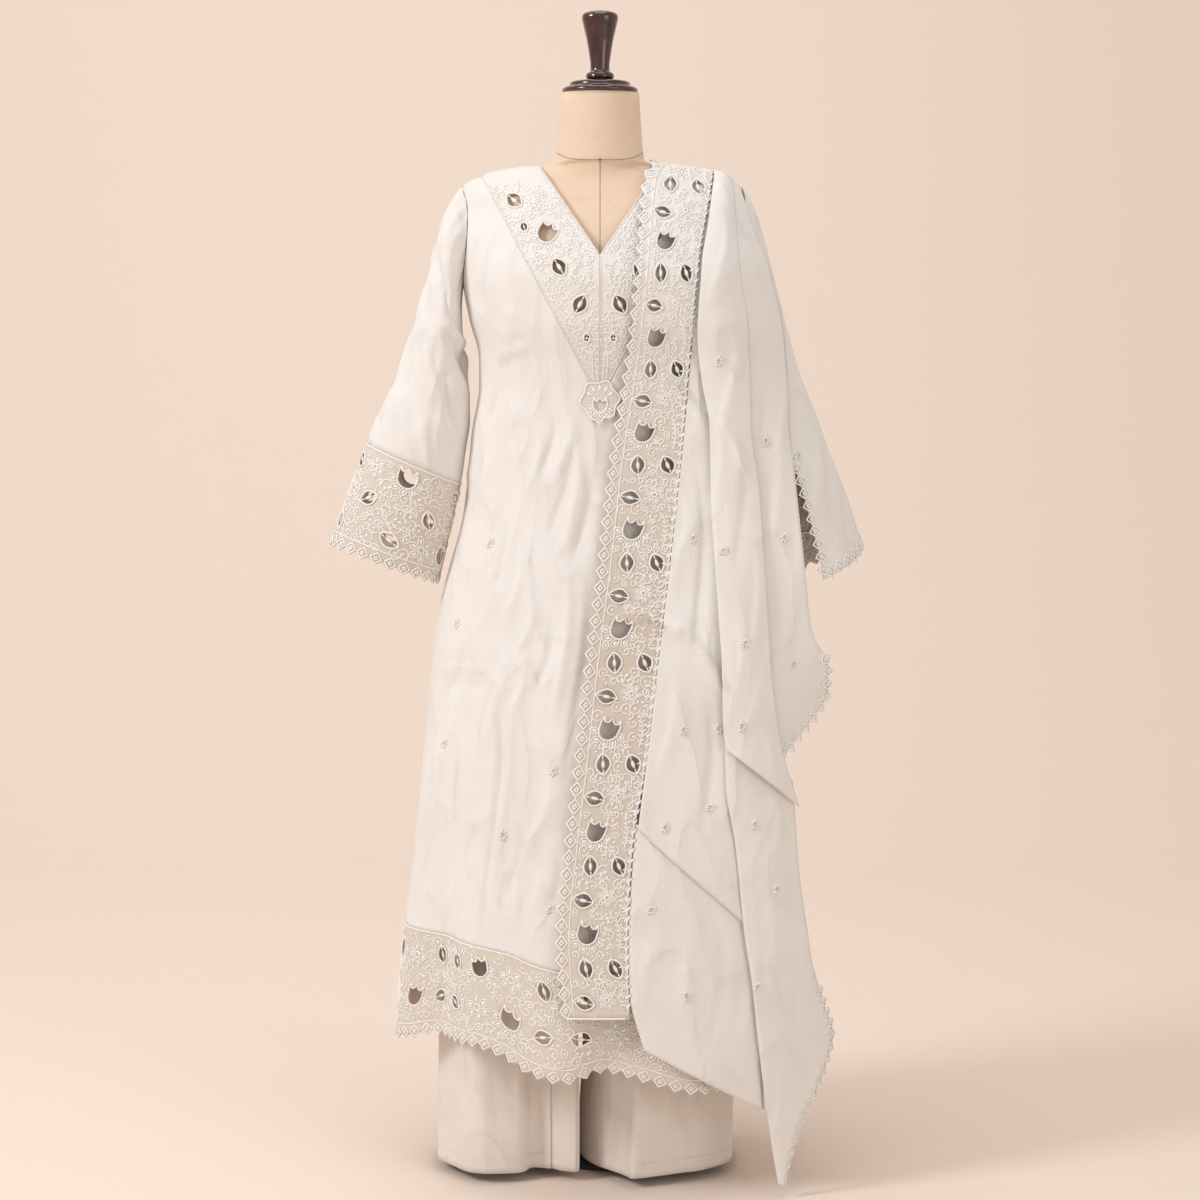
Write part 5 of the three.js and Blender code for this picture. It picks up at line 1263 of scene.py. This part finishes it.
def armhole_point(around):
    z = ARMHOLE_Z + ARMHOLE_HIGH * np.cos(np.radians(around))
    y = -ARMHOLE_DEEP * np.sin(np.radians(around))
    deep = np.where(y < 0, curve(KURTA, "z", "front", z), curve(KURTA, "z", "back", z))
    return xyz(curve(KURTA, "z", "half", z) * np.sqrt(1 - (y / deep) ** 2) + SLEEVE_GAP, y, z)


def sleeve_base(around, length, width):
    values = {key: curve(SLEEVE, "length", key, length) for key in ("outX", "outZ", "inX", "inZ", "deep")}
    c = (1 + np.cos(np.radians(around))) / 2
    out_x = mix(values["inX"], values["outX"], width)
    y = -values["deep"] * width * np.sin(np.radians(around))
    hung = xyz(mix(values["inX"], out_x, c), y, mix(values["inZ"], values["outZ"], c))
    share = smooth(length / SLEEVE_BLEND)[..., None]
    return mix(armhole_point(around), hung, share)


def sleeve_surface(side, width):
    def surface(around, length):
        base = lambda a, b: sleeve_base(a, b, width)
        point = base(around, length)
        lines = soft_lines(SLEEVE_CREASES, point[..., 0], point[..., 2])
        gathers = 0.9 * np.sin(np.radians(around * 15)) * smooth((60 - length) / 50)
        lift = lines * np.where(np.sin(np.radians(around)) > 0, 1.5, -1) * smooth(length / 50)
        lift = lift + gathers * smooth(length / 8)
        point = point + lift[..., None] * normals(base, around, length, 0.4)
        return point * (side, 1, 1)
    return surface


CUFF_AROUND, CUFF_VALLEY, CUFF_TEETH = 215, 140, 12
CUFF_EYELETS = [
    (21.5, 22.5, "leaf", 30), (64.5, 67.5, "leaf", -35), (107.5, 22.5, "tulip", 180),
    (150.5, 67.5, "leaf", 65), (193.5, 22.5, "leaf", 10), (21.5, 110, "leaf", 75),
    (107.5, 110, "leaf", 20), (190, 108, "tulip", 200),
]
for label, side, width in (("right", -1, 1), ("left", 1, COVERED_SLEEVE)):
    surface = sleeve_surface(side, width)
    lengths = np.concatenate([[0, 2, 4, 7, 11, 16, 22, 29], np.arange(36, 374, 6.5), [CUFF_SEAM - SEAM]])
    sleeve = panel(f"sleeve_{label}_cloth", surface, np.arange(0, 361, 4.0), lengths, side, join_ends=True)
    settle(sleeve, voile, [f"kurta_sleeve_{label}"])
    for half_name, first in (("front", 0), ("back", 180)):
        def cuff_surface(a, b, first=first, surface=surface):
            return surface(first + np.clip(a / CUFF_AROUND * 180, 0.13, 179.87), CUFF_SEAM + b)

        cuff = Lace(cuff_surface, side, 31 + first + side)
        for a, b, kind, angle in CUFF_EYELETS:
            getattr(cuff, kind)(a, b, angle)
        cuff.flower(60, 24, 17)
        cuff.flower(150, 108, 18)
        net_name = f"cuff_net_{label}_{half_name}"
        ground = band_ground(cuff, net_name, CUFF_AROUND, CUFF_VALLEY, CUFF_TEETH, 11.5, 127)
        settle(ground, net, [f"cuff_lace_{label}_{half_name}"])
        cuff.trimmings(f"cuff_{label}_{half_name}")

# Dupatta: a long scarf of sheer off-white cotton hung over the wearer's left shoulder, front and back,
# and wrapped round the sleeve. It hangs over the kurta in swags, one sheet for each stretch that shows.
HULL = table("z half front back", [(1405, 58, 50, 52)] + SHOULDER_RINGS + [
    (1368, 192, 55, 59), (1350, 204, 70, 73), (1327, 214, 85, 87), (1290, 225, 105, 97),
    (1235, 239, 126, 103), (1185, 252, 126, 105), (1130, 268, 115, 103), (1095, 280, 113, 104),
    (1033, 303, 117, 112), (921, 347, 131, 130), (820, 372, 148, 148), (711, 366, 171, 164),
    (569, 350, 200, 182), (469, 346, 218, 196), (312, 346, 244, 216), (190, 348, 258, 226),
    (10, 350, 266, 230),
])
HULL_THROAT = table("z throat", [(1405, 12), (1398, 24), (1394, 23), (1390, 18), (1380, 10)])
RIDGE_MIDDLE, RIDGE_FADE, RIDGE_REACH = 1396.5, 1250, 203
DROP = table("length z", [
    (0, 1396.5), (10, 1396), (20, 1394.6), (38, 1390), (50, 1380), (63, 1368), (83, 1350), (109, 1327),
    (150, 1290), (187, 1256), (1433, 10),
])
# Creases of the scarf in front and behind, as on the kurta, and the swags that cross it.
FRONT_DRAPE = [
    (16, 784, 126, 764, 5, 8.0), (84, 782, 182, 682, 5, 9.0), (70, 1112, 156, 1040, 5, 5.5),
    (130, 1062, 214, 964, 5, 5.5), (128, 1000, 136, 700, 8, -3.6),
    (140, 690, 146, 480, 10, -3.4), (112, 960, 104, 800, 8, 1.8), (96, 720, 88, 560, 9, 2.2),
    (150, 1060, 160, 900, 7, 2.2), (172, 1200, 170, 1020, 8, 2.0), (160, 1330, 152, 1200, 7, 1.8),
    (182, 1060, 190, 820, 8, -2.4), (200, 900, 210, 700, 8, 2.2), (176, 800, 186, 640, 8, 2.0),
    (136, 1070, 178, 1040, 5, 2.0), (140, 1052, 186, 1012, 6, -2.0), (206, 640, 232, 570, 7, 1.8),
    (60, 470, 110, 430, 6, 1.8), (70, 430, 66, 300, 8, 1.6), (110, 420, 116, 240, 9, 2.0),
    (150, 400, 160, 200, 9, -2.2), (90, 300, 150, 330, 5, 1.2), (190, 360, 200, 200, 8, 1.8),
    (222, 560, 232, 420, 8, 2.4), (240, 500, 256, 330, 8, -2.6), (214, 420, 226, 240, 8, 2.2),
    (262, 420, 276, 280, 7, 2.0), (206, 322, 240, 312, 4, 1.6), (240, 312, 290, 296, 4, 1.6),
    (236, 240, 250, 90, 7, -2.2), (262, 250, 262, 130, 7, 1.8), (226, 200, 236, 70, 6, 1.6),
    (220, 1240, 236, 1080, 9, 2.2), (244, 1160, 262, 980, 9, -2.4), (232, 1060, 240, 860, 9, 2.2),
    (262, 960, 272, 780, 9, 2.0), (210, 1180, 216, 980, 8, -1.8), (280, 1100, 304, 900, 8, 2.0),
    (296, 980, 318, 860, 8, -1.8), (250, 800, 262, 690, 8, -2.0), (226, 760, 236, 640, 7, 1.8),
    (140, 1200, 160, 1216, 5, 1.4), (150, 860, 178, 852, 4, 1.2), (70, 640, 120, 628, 4, 1.2),
]
BACK_DRAPE = [
    (160, 1340, 162, 1180, 8, 2.0), (180, 1300, 188, 1100, 8, -2.2), (150, 1140, 144, 940, 9, 2.4),
    (184, 1080, 196, 860, 9, 2.4), (164, 1000, 160, 800, 9, -2.6), (216, 1040, 228, 820, 9, -2.0),
    (136, 880, 128, 680, 9, 2.2), (204, 860, 214, 680, 9, 2.2), (240, 860, 248, 690, 8, 2.0),
    (178, 800, 184, 650, 8, 2.0), (130, 960, 220, 940, 5, 1.4), (140, 760, 236, 742, 5, -1.4),
]


def hull_throat(z):
    return throat_lift(z, HULL_THROAT)


def hull_square(z):
    return 2 + 0.6 * smooth((1372 - z) / 50) * (1 - smooth((800 - z) / 200))


def ridge_height(x):
    """Height of the shoulder's crest at each x, found by halving."""
    low, high = np.full(np.shape(x), 1340.0), np.full(np.shape(x), 1405.0)
    for _ in range(30):
        middle = (low + high) / 2
        wider = curve(HULL, "z", "half", middle) > x
        low, high = np.where(wider, middle, low), np.where(wider, high, middle)
    return (low + high) / 2


def hull_ring(turn, z):
    return ring(HULL, turn, z, hull_square(z), hull_throat)


def hull_point(turn, z, lift):
    point = hull_ring(turn, z)
    front = soft_lines(FRONT_DRAPE, point[..., 0], z)
    back = soft_lines(BACK_DRAPE, point[..., 0], z)
    creased = np.where(np.cos(np.radians(turn)) > 0, front, back) * smooth((1385 - z) / 60)
    return point + (lift + creased)[..., None] * normals(hull_ring, turn, z, 0.25)


def drape(x, nominal, lift, behind):
    """A place on the scarf by its x and its height beside the neck, in front or behind."""
    share = np.clip((nominal - RIDGE_FADE) / (RIDGE_MIDDLE - RIDGE_FADE), 0, 1)
    z = nominal + (ridge_height(np.minimum(x, RIDGE_REACH)) - RIDGE_MIDDLE) * share
    limit = 90 - np.degrees(SEAM / 2 / curve(HULL, "z", "back" if behind else "front", z))
    across = np.sign(x) * np.minimum(1, np.abs(x) / curve(HULL, "z", "half", z)) ** (hull_square(z) / 2)
    turn = np.minimum(limit, np.degrees(np.arcsin(across)))
    return hull_point(180 - turn if behind else turn, z, lift)


def sheet_surface(rows, behind=False, puff=0.0):
    """A sheet ruled between its left and right edges; b counts the table's rows down."""
    places = dict(rows, index=np.arange(len(rows["leftX"]), dtype=float))

    def surface(a, b):
        value = lambda key: curve(places, "index", key, b)
        left_lift = value("leftLift" if "leftLift" in places else "lift")
        lift = mix(left_lift, value("lift"), smooth(2 * a)) + puff * np.sin(math.pi * a) * smooth(b / 2)
        x = mix(value("leftX"), value("rightX"), a)
        nominal = mix(value("leftZ"), value("rightZ"), a)
        return drape(x, nominal, lift, behind)
    return surface


FRONT_PANEL = table("leftX leftZ rightX rightZ leftLift lift", [
    (138, 1394, 172, 1394, 2.0, 2.0), (136, 1370, 170, 1370, 2.2, 2.2), (128, 1300, 164, 1300, 2.4, 2.6),
    (120, 1220, 156, 1215, 2.8, 3.2), (121, 1176, 152, 1150, 3.8, 4.4), (124, 1160, 150, 1130, 4.3, 5),
    (119.5, 1103, 160, 1050, 4, 5), (108.6, 980, 168, 942, 4, 6), (93.6, 847, 178, 808, 4, 6),
    (77.6, 718, 184, 690, 4, 6), (63, 600, 188, 560, 4, 6), (50, 505, 195, 372, 6, 8),
])
PLEAT = table("leftX leftZ rightX rightZ lift", [
    (156, 1396.5, 180, 1396.5, 4), (155, 1394, 180, 1394, 6.5), (154, 1384, 180, 1384, 8),
    (151, 1362, 180, 1360, 9), (143, 1310, 181, 1305, 11), (134, 1254, 184, 1244, 12),
    (129, 1171, 195, 1174, 13), (135, 1104, 199, 1100, 14), (146, 1036, 202, 1032, 14),
    (148, 942, 213, 952, 14), (156, 808, 222, 807, 15), (161, 713, 227, 704, 16), (161, 650, 238, 610, 17),
    (164, 608, 260, 526, 18),
])
LOWER_PANEL = table("leftX leftZ rightX rightZ lift", [
    (47.4, 514, 200, 400, 3.2), (41.2, 430, 206, 340, 3.6), (37.8, 362, 212, 290, 3.6),
    (39.4, 290, 217, 220, 3.6), (58, 216, 219, 122, 3.6),
])
TAIL = table("leftX leftZ rightX rightZ lift", [
    (165, 640, 256, 560, 11), (166, 560, 259, 510, 11), (178, 480, 266, 423, 11), (189, 366, 279, 323, 11),
    (198, 300, 298, 254, 11), (206, 230, 311, 205, 11), (213, 170, 295, 152, 11), (220, 115, 268, 104, 11),
    (228, 60, 252, 58, 11), (235, 18, 243, 16, 11),
])
SECOND_LAYER = table("leftX leftZ rightX rightZ lift", [
    (158, 1396.5, 189, 1396.5, 2), (160, 1394, 190, 1394, 3.6), (162, 1384, 192, 1384, 4.8),
    (164, 1362, 198, 1362, 6), (166, 1310, 210, 1310, 8.5), (166, 1246, 226, 1246, 9.5),
    (168, 1126, 249, 1126, 9.5), (172, 1031, 256, 1031, 9), (180, 951, 264, 951, 9), (190, 832, 276, 832, 9),
    (196, 764, 284, 764, 9), (202, 690, 307, 715, 9), (208, 630, 306, 680, 9), (220, 590, 249, 600, 9),
])
BACK_PANEL = table("leftX leftZ rightX rightZ leftLift lift", [
    (154.5, 1396.5, 182, 1396.5, 2.2, 2.2), (154.5, 1394, 183, 1394, 4, 5), (154, 1384, 184, 1384, 5, 8),
    (152.6, 1362, 187, 1362, 6.4, 9), (147.6, 1300, 196, 1300, 6.2, 9), (139, 1160, 212, 1160, 5, 9),
    (127, 1000, 232, 1000, 5, 9), (119, 800, 250, 800, 5, 9), (111, 620, 262, 640, 5, 9),
])
sheer = woven("sheer_cotton", (0.88, 0.84, 0.805), (0.83, 0.785, 0.745), 0.6, 2.4, 0.16)
# Name, table, behind, puff, columns, rows to a table row, flat width and length, share of it that is filled.
SHEETS = [
    ("front_panel", FRONT_PANEL, False, 0, 40, 18, (0.14, 1.02), 0.6),
    ("pleat", PLEAT, False, 5, 24, 14, (0.10, 0.95), 0.75),
    ("lower_panel", LOWER_PANEL, False, 0, 26, 12, (0.20, 0.34), 0.9),
    ("tail", TAIL, False, 5, 20, 9, (0.14, 0.62), 0.66),
    ("second_layer", SECOND_LAYER, False, 0, 20, 8, (0.12, 0.95), 0.8),
    ("back_panel", BACK_PANEL, True, 0, 22, 12, (0.16, 0.86), 0.7),
]
for name, rows, behind, puff, columns, steps, flat, share in SHEETS:
    last = len(rows["leftX"]) - 1
    across, down = np.linspace(0, 1, columns + 1), np.arange(last * steps + 1) / steps
    surface, side = sheet_surface(rows, behind, puff), 1 if behind else -1
    sheet = panel(f"{name}_cloth", surface, across, down, side)
    settle(sheet, sheer, [f"dupatta_{name}"])

SLEEVE_LAYER = table("turn top hem", [
    (50, 1290, 831), (62, 1325, 847), (90, 1366, 872), (120, 1335, 850), (138, 1290, 836),
])


def sleeve_layer_surface(turn, b):
    top, hem = curve(SLEEVE_LAYER, "turn", "top", turn), curve(SLEEVE_LAYER, "turn", "hem", turn)
    return hull_point(turn, mix(top, hem, b), np.full(np.shape(turn), 3.6))


wrap_turns, wrap_rows = np.arange(50, 138.5, 2.0), np.linspace(0, 1, 61)
wrap = panel("sleeve_layer_cloth", sleeve_layer_surface, wrap_turns, wrap_rows, -1)
settle(wrap, sheer, ["dupatta_sleeve_layer"])

# Dupatta border: a band of cutwork along the scarf's front edge, over the shoulder and down the back.
# It repeats a tulip and three leaves with a fern beside them, and its free edge is cut in lozenges.
FRONT_BORDER = table("z left right lift", [
    (1396.5, 68, 154, 2), (1395, 68, 154, 3.6), (1366, 56, 150, 5.5), (1254, 47, 131, 5.5),
    (1149, 36, 122, 4.2), (980, 9, 108, 3.6), (847, -6, 93, 3.6), (718, -23, 77, 3.6),
    (596, -36, 62, 3.6), (477, -49, 43, 3.6), (360, -60, 37, 3.6), (262, -53, 39, 3.6),
])
BACK_BORDER = table("z left right lift", [
    (1396.5, 68, 154, 2), (1395, 68, 154, 3.6), (1300, 52, 146, 5.5), (1000, 30, 126, 4), (600, 12, 110, 4),
])
BORDER_WIDTH, BORDER_REPEAT, BORDER_TEETH = 96, 132, 6
BORDER_EYELETS = [
    (42.2, 22, "tulip", 195), (40, 66, "leaf", 80), (79, 66, "leaf", 62), (34.7, 110, "leaf", 12),
]
BORDERS = [("front", FRONT_BORDER, 9, False, 41), ("back", BACK_BORDER, 5, True, 42)]


def border_surface(rows, behind):
    def surface(a, length):
        nominal = curve(DROP, "length", "z", length)
        left, right, lift = (curve(rows, "z", key, nominal) for key in ("left", "right", "lift"))
        return drape(mix(left, right, a / BORDER_WIDTH), nominal, lift, behind)
    return surface


for label, rows, repeats, behind, seed in BORDERS:
    band = Lace(border_surface(rows, behind), 1 if behind else -1, seed)
    long = repeats * BORDER_REPEAT
    for repeat in range(repeats):
        start = repeat * BORDER_REPEAT
        for a, b, kind, angle in BORDER_EYELETS:
            if repeat > 0 or b > 60:
                getattr(band, kind)(a, start + b, angle)
        band.sprig(84, start + 44, -96, 44, 6)
        band.flower(66, start + 106, 13)
        band.thin.append(moved(spiral_line(9), 62, start + 90, 30 * repeat))
    count = repeats * BORDER_TEETH
    edge = toothed([(HEM_TIP, long), (HEM_TIP, 0)], count, -HEM_TIP, (1, 0))
    outline = np.concatenate([
        edge[:-1],
        straight((HEM_TIP, 0), (BORDER_WIDTH, 0), 6),
        straight((BORDER_WIDTH, 0), (BORDER_WIDTH, long), 6),
        straight((BORDER_WIDTH, long), (HEM_TIP, long), 6),
    ])
    band.edge((HEM_TIP + 2, 0), (HEM_TIP + 2, long), LOZENGE_HIGH, count)
    band.fill(np.array([(20, 4), (92, 4), (92, long - 4), (20, long - 4)], float), 10.5)
    band.thin.append(straight((19, 1), (19, long - 1), 5))
    band.thick.append(straight((9, long - 1.4), (95, long - 1.4), 5))
    for b in np.arange(8, long - 8, 12.5):
        lean, length = band.chance.uniform(-62, -22), band.chance.uniform(11, 16)
        band.petals.append((94.5, b, lean, length, 0.36 * length))
        band.thin.append(moved(arc_line(6.5, -100, 80, 7), 88, b + 5, lean / 2))
    ground = band.ground(f"border_net_{label}", outline, 7)
    settle(ground, net, [f"dupatta_border_{label}"])
    band.trimmings(f"border_{label}")

# Lozenge edgings: the scarf's other hems end in a row of the same corded lozenges, half of each one
# hanging free. Each row follows one edge of a sheet, at an even pitch.
PICOT_PITCH, PICOT_REACH, PICOT_THICK = 17, 9.5, 1.3


def edge_frames(surface, side, a, b):
    """Places, headings, sideways and outward directions along a line drawn on a surface."""
    line = surface(a, b)
    lengths = np.concatenate([[0], np.cumsum(np.linalg.norm(np.diff(line, axis=0), axis=-1))])
    count = int(lengths[-1] // PICOT_PITCH)
    at = (np.arange(count) + 0.5) * lengths[-1] / count
    at_a, at_b = np.interp(at, lengths, a), np.interp(at, lengths, b)
    spots, ahead, behind = (
        np.stack([np.interp(at + shift, lengths, line[:, k]) for k in range(3)], axis=-1)
        for shift in (0, 2, -2)
    )
    out = side * normals(surface, at_a, at_b, 0.004)
    head = ahead - behind
    head -= (head * out).sum(-1, keepdims=True) * out
    head /= np.linalg.norm(head, axis=-1, keepdims=True)
    return spots + 0.1 * out, np.stack([head, np.cross(out, head), out], axis=1)


steps = np.linspace(0, 1, 200)
tail_surface, layer_surface = sheet_surface(TAIL, False, 5), sheet_surface(SECOND_LAYER)
back_surface_of_scarf = sheet_surface(BACK_PANEL, True)
EDGINGS = [
    ("tail_edging", tail_surface, -1, np.full(200, 0.985), mix(3.6, 9.0, steps)),
    ("second_layer_edging", layer_surface, -1, np.full(200, 0.98), mix(10.6, 13.0, steps)),
    ("second_layer_hem", layer_surface, -1, mix(0.04, 0.96, steps), np.full(200, 12.95)),
    ("sleeve_layer_hem", sleeve_layer_surface, -1, mix(51, 137, steps), np.full(200, 0.985)),
    ("sleeve_layer_front_edge", sleeve_layer_surface, -1, np.full(200, 50.6), mix(0.62, 0.99, steps)),
    ("back_panel_hem", back_surface_of_scarf, 1, mix(0.03, 0.97, steps), np.full(200, 7.97)),
]
for name, surface, side, a, b in EDGINGS:
    spots, frames = edge_frames(surface, side, a, b)
    sizes = np.tile(np.array([PICOT_PITCH / 2, PICOT_REACH, PICOT_THICK]) * MM, (len(spots), 1))
    settle(scattered(name, spots, frames, sizes, LOZENGE, cord_cotton))

# Side seams: the kurta's front and back are joined by a narrow openwork ladder, worked in cord over
# the seam from the hip to the hem lace.
SEAM_LADDER = np.arange(800, 352, -4.0)
LADDER_TURNS = (83.5, 88.8, 91.2, 96.5)
for label, side in (("right", -1), ("left", 1)):
    rails = []
    for turn in LADDER_TURNS:
        turns = np.full(len(SEAM_LADDER), side * turn)
        out = -normals(kurta_point, turns, SEAM_LADDER, 0.3)
        rails.append(kurta_point(turns, SEAM_LADDER) - 0.3 * out)
    rungs = []
    for first, second in (rails[:2], rails[2:]):
        rungs.extend(np.stack(pair) for pair in zip(first[::2], second[::2]))
    settle(cords(f"side_seam_{label}", rails + rungs, 0.7, cord_cotton))

# Sprigs: small butterflies of satin stitch, scattered over the skirt and the scarf. Each is sewn on
# whichever layer lies outermost at its place, so it is laid there from straight in front or behind.
FRONT_SPRIGS = [
    (-197, 768, 20), (-215, 604, -30), (-62, 580, 10), (-131, 492, 35), (-66, 398, -15), (160, 1128, 25),
    (195, 752, -20), (112, 636, 15), (160, 636, 40), (148, 532, -35), (87, 508, 10), (208, 508, 20),
    (68, 400, -25), (115, 286, 30), (211, 292, -10), (250, 890, 15), (166, 874, -30), (126, 890, 20),
    (225, 1020, 30), (262, 720, -25), (238, 420, 10), (-150, 880, -20), (270, 1000, -15), (190, 640, 25),
]
BACK_SPRIGS = [
    (-180, 820, 15), (-90, 700, -25), (0, 860, 30), (60, 620, -10), (-150, 500, 20), (-30, 480, -35),
    (190, 560, 15), (110, 430, -20), (-200, 640, 35), (170, 960, 10), (200, 800, -30), (-70, 980, 20),
    (30, 1080, -15), (180, 1120, 25),
]
SPRIG_PETALS = [
    (28, 6.5), (62, 7.5), (98, 6.0), (150, 5.5), (214, 6.5), (250, 7.0), (286, 5.0), (330, 6.0),
]
PETAL_WIDTH, SPRIG_THICK = 2.6, 1.9
for pattern in (PETAL, LOZENGE):
    bpy.context.scene.collection.objects.unlink(pattern)
bpy.context.view_layer.update()
seen = bpy.context.evaluated_depsgraph_get()
spots, frames, sizes = [], [], []
for rows, way in ((FRONT_SPRIGS, 1), (BACK_SPRIGS, -1)):
    for x, z, lean in rows:
        start = Vector((x * MM, -way, z * MM))
        place, out = bpy.context.scene.ray_cast(seen, start, Vector((0, way, 0)))[1:3]
        out = np.array(out if out.y * way < 0 else -out)
        level = np.cross((0, 0, 1.0), out)
        level /= np.linalg.norm(level)
        upward = np.cross(out, level)
        for turn, length in SPRIG_PETALS:
            c, s = polar(1, turn + lean)
            head = c * level + s * upward
            spots.append(np.array(place) / MM + 0.7 * length * head + 0.1 * out)
            frames.append(np.stack([head, np.cross(out, head), out]))
            sizes.append((1.15 * length * MM, PETAL_WIDTH * MM, SPRIG_THICK * MM))
settle(scattered("satin_sprigs", spots, frames, sizes, PETAL, satin_cotton))

# Studio: a plain pale backdrop that curves into the floor, a large soft light from the front left, a
# weaker one from the right, one from above, one on the backdrop, and the camera at the photo's angle.
# Places and sizes of this section alone are in metres.
CAMERA_PLACE = (0, -4.0, 1.149)
CAMERA_DOWN = 5.06
LENS = 86.04
BEND_START, BEND_RADIUS = 2.2, 3.0
bend = np.radians(np.arange(0, 91, 3.0))
backdrop_y = np.concatenate([[-4.5], BEND_START + BEND_RADIUS * np.sin(bend), [BEND_START + BEND_RADIUS]])
backdrop_z = np.concatenate([[0], BEND_RADIUS * (1 - np.cos(bend)), [6.5]])
sweep = np.stack([xyz(x, backdrop_y, backdrop_z) for x in (-7, 7)], axis=1)
backdrop_points = sweep.reshape(-1, 3) / MM
backdrop_faces = [(2 * k, 2 * k + 1, 2 * k + 3, 2 * k + 2) for k in range(len(sweep) - 1)]
backdrop = new_object("backdrop", backdrop_points, backdrop_faces)
paper = finish_of("backdrop_paper", (0.94, 0.80, 0.70), 0.95)[0]
backdrop.data.materials.append(paper)


def soft_light(name, place, aim, size, power, color):
    light = bpy.data.lights.new(name, "AREA")
    light.shape = "RECTANGLE"
    light.size, light.size_y = size
    light.energy = power
    light.color = color
    lamp = bpy.data.objects.new(name, light)
    lamp.location = place
    lamp.rotation_euler = (Vector(aim) - Vector(place)).to_track_quat("-Z", "Y").to_euler()
    bpy.context.scene.collection.objects.link(lamp)


soft_light("key", (-3.2, -1.8, 2.9), (0, 0, 0.8), (1.0, 1.2), 76, (0.965, 0.985, 1.0))
soft_light("fill", (3.0, -3.4, 1.6), (0, 0, 0.8), (2.2, 2.6), 29, (1.0, 0.985, 0.965))
soft_light("top", (0, -0.6, 4.0), (0, 0.1, 0.5), (2.0, 2.0), 24, (1.0, 0.99, 0.98))
soft_light("backdrop_wash", (-1.0, 2.0, 4.6), (-0.6, 5.0, 1.4), (4.0, 1.0), 44, (1.0, 0.985, 0.96))
bpy.context.scene.view_settings.view_transform = "Standard"
world = bpy.data.worlds.new("studio")
world.use_nodes = True
world.node_tree.nodes["Background"].inputs["Color"].default_value = (1.0, 0.95, 0.90, 1)
world.node_tree.nodes["Background"].inputs["Strength"].default_value = 0.51
bpy.context.scene.world = world

lens = bpy.data.cameras.new("camera")
lens.lens = LENS
lens.sensor_width = 36
lens.clip_end = 50
camera = bpy.data.objects.new("camera", lens)
camera.location = CAMERA_PLACE
camera.rotation_euler = (math.radians(90 - CAMERA_DOWN), 0, 0)
bpy.context.scene.collection.objects.link(camera)
bpy.context.scene.camera = camera

for pattern in (PETAL, LOZENGE):
    bpy.data.objects.remove(pattern)
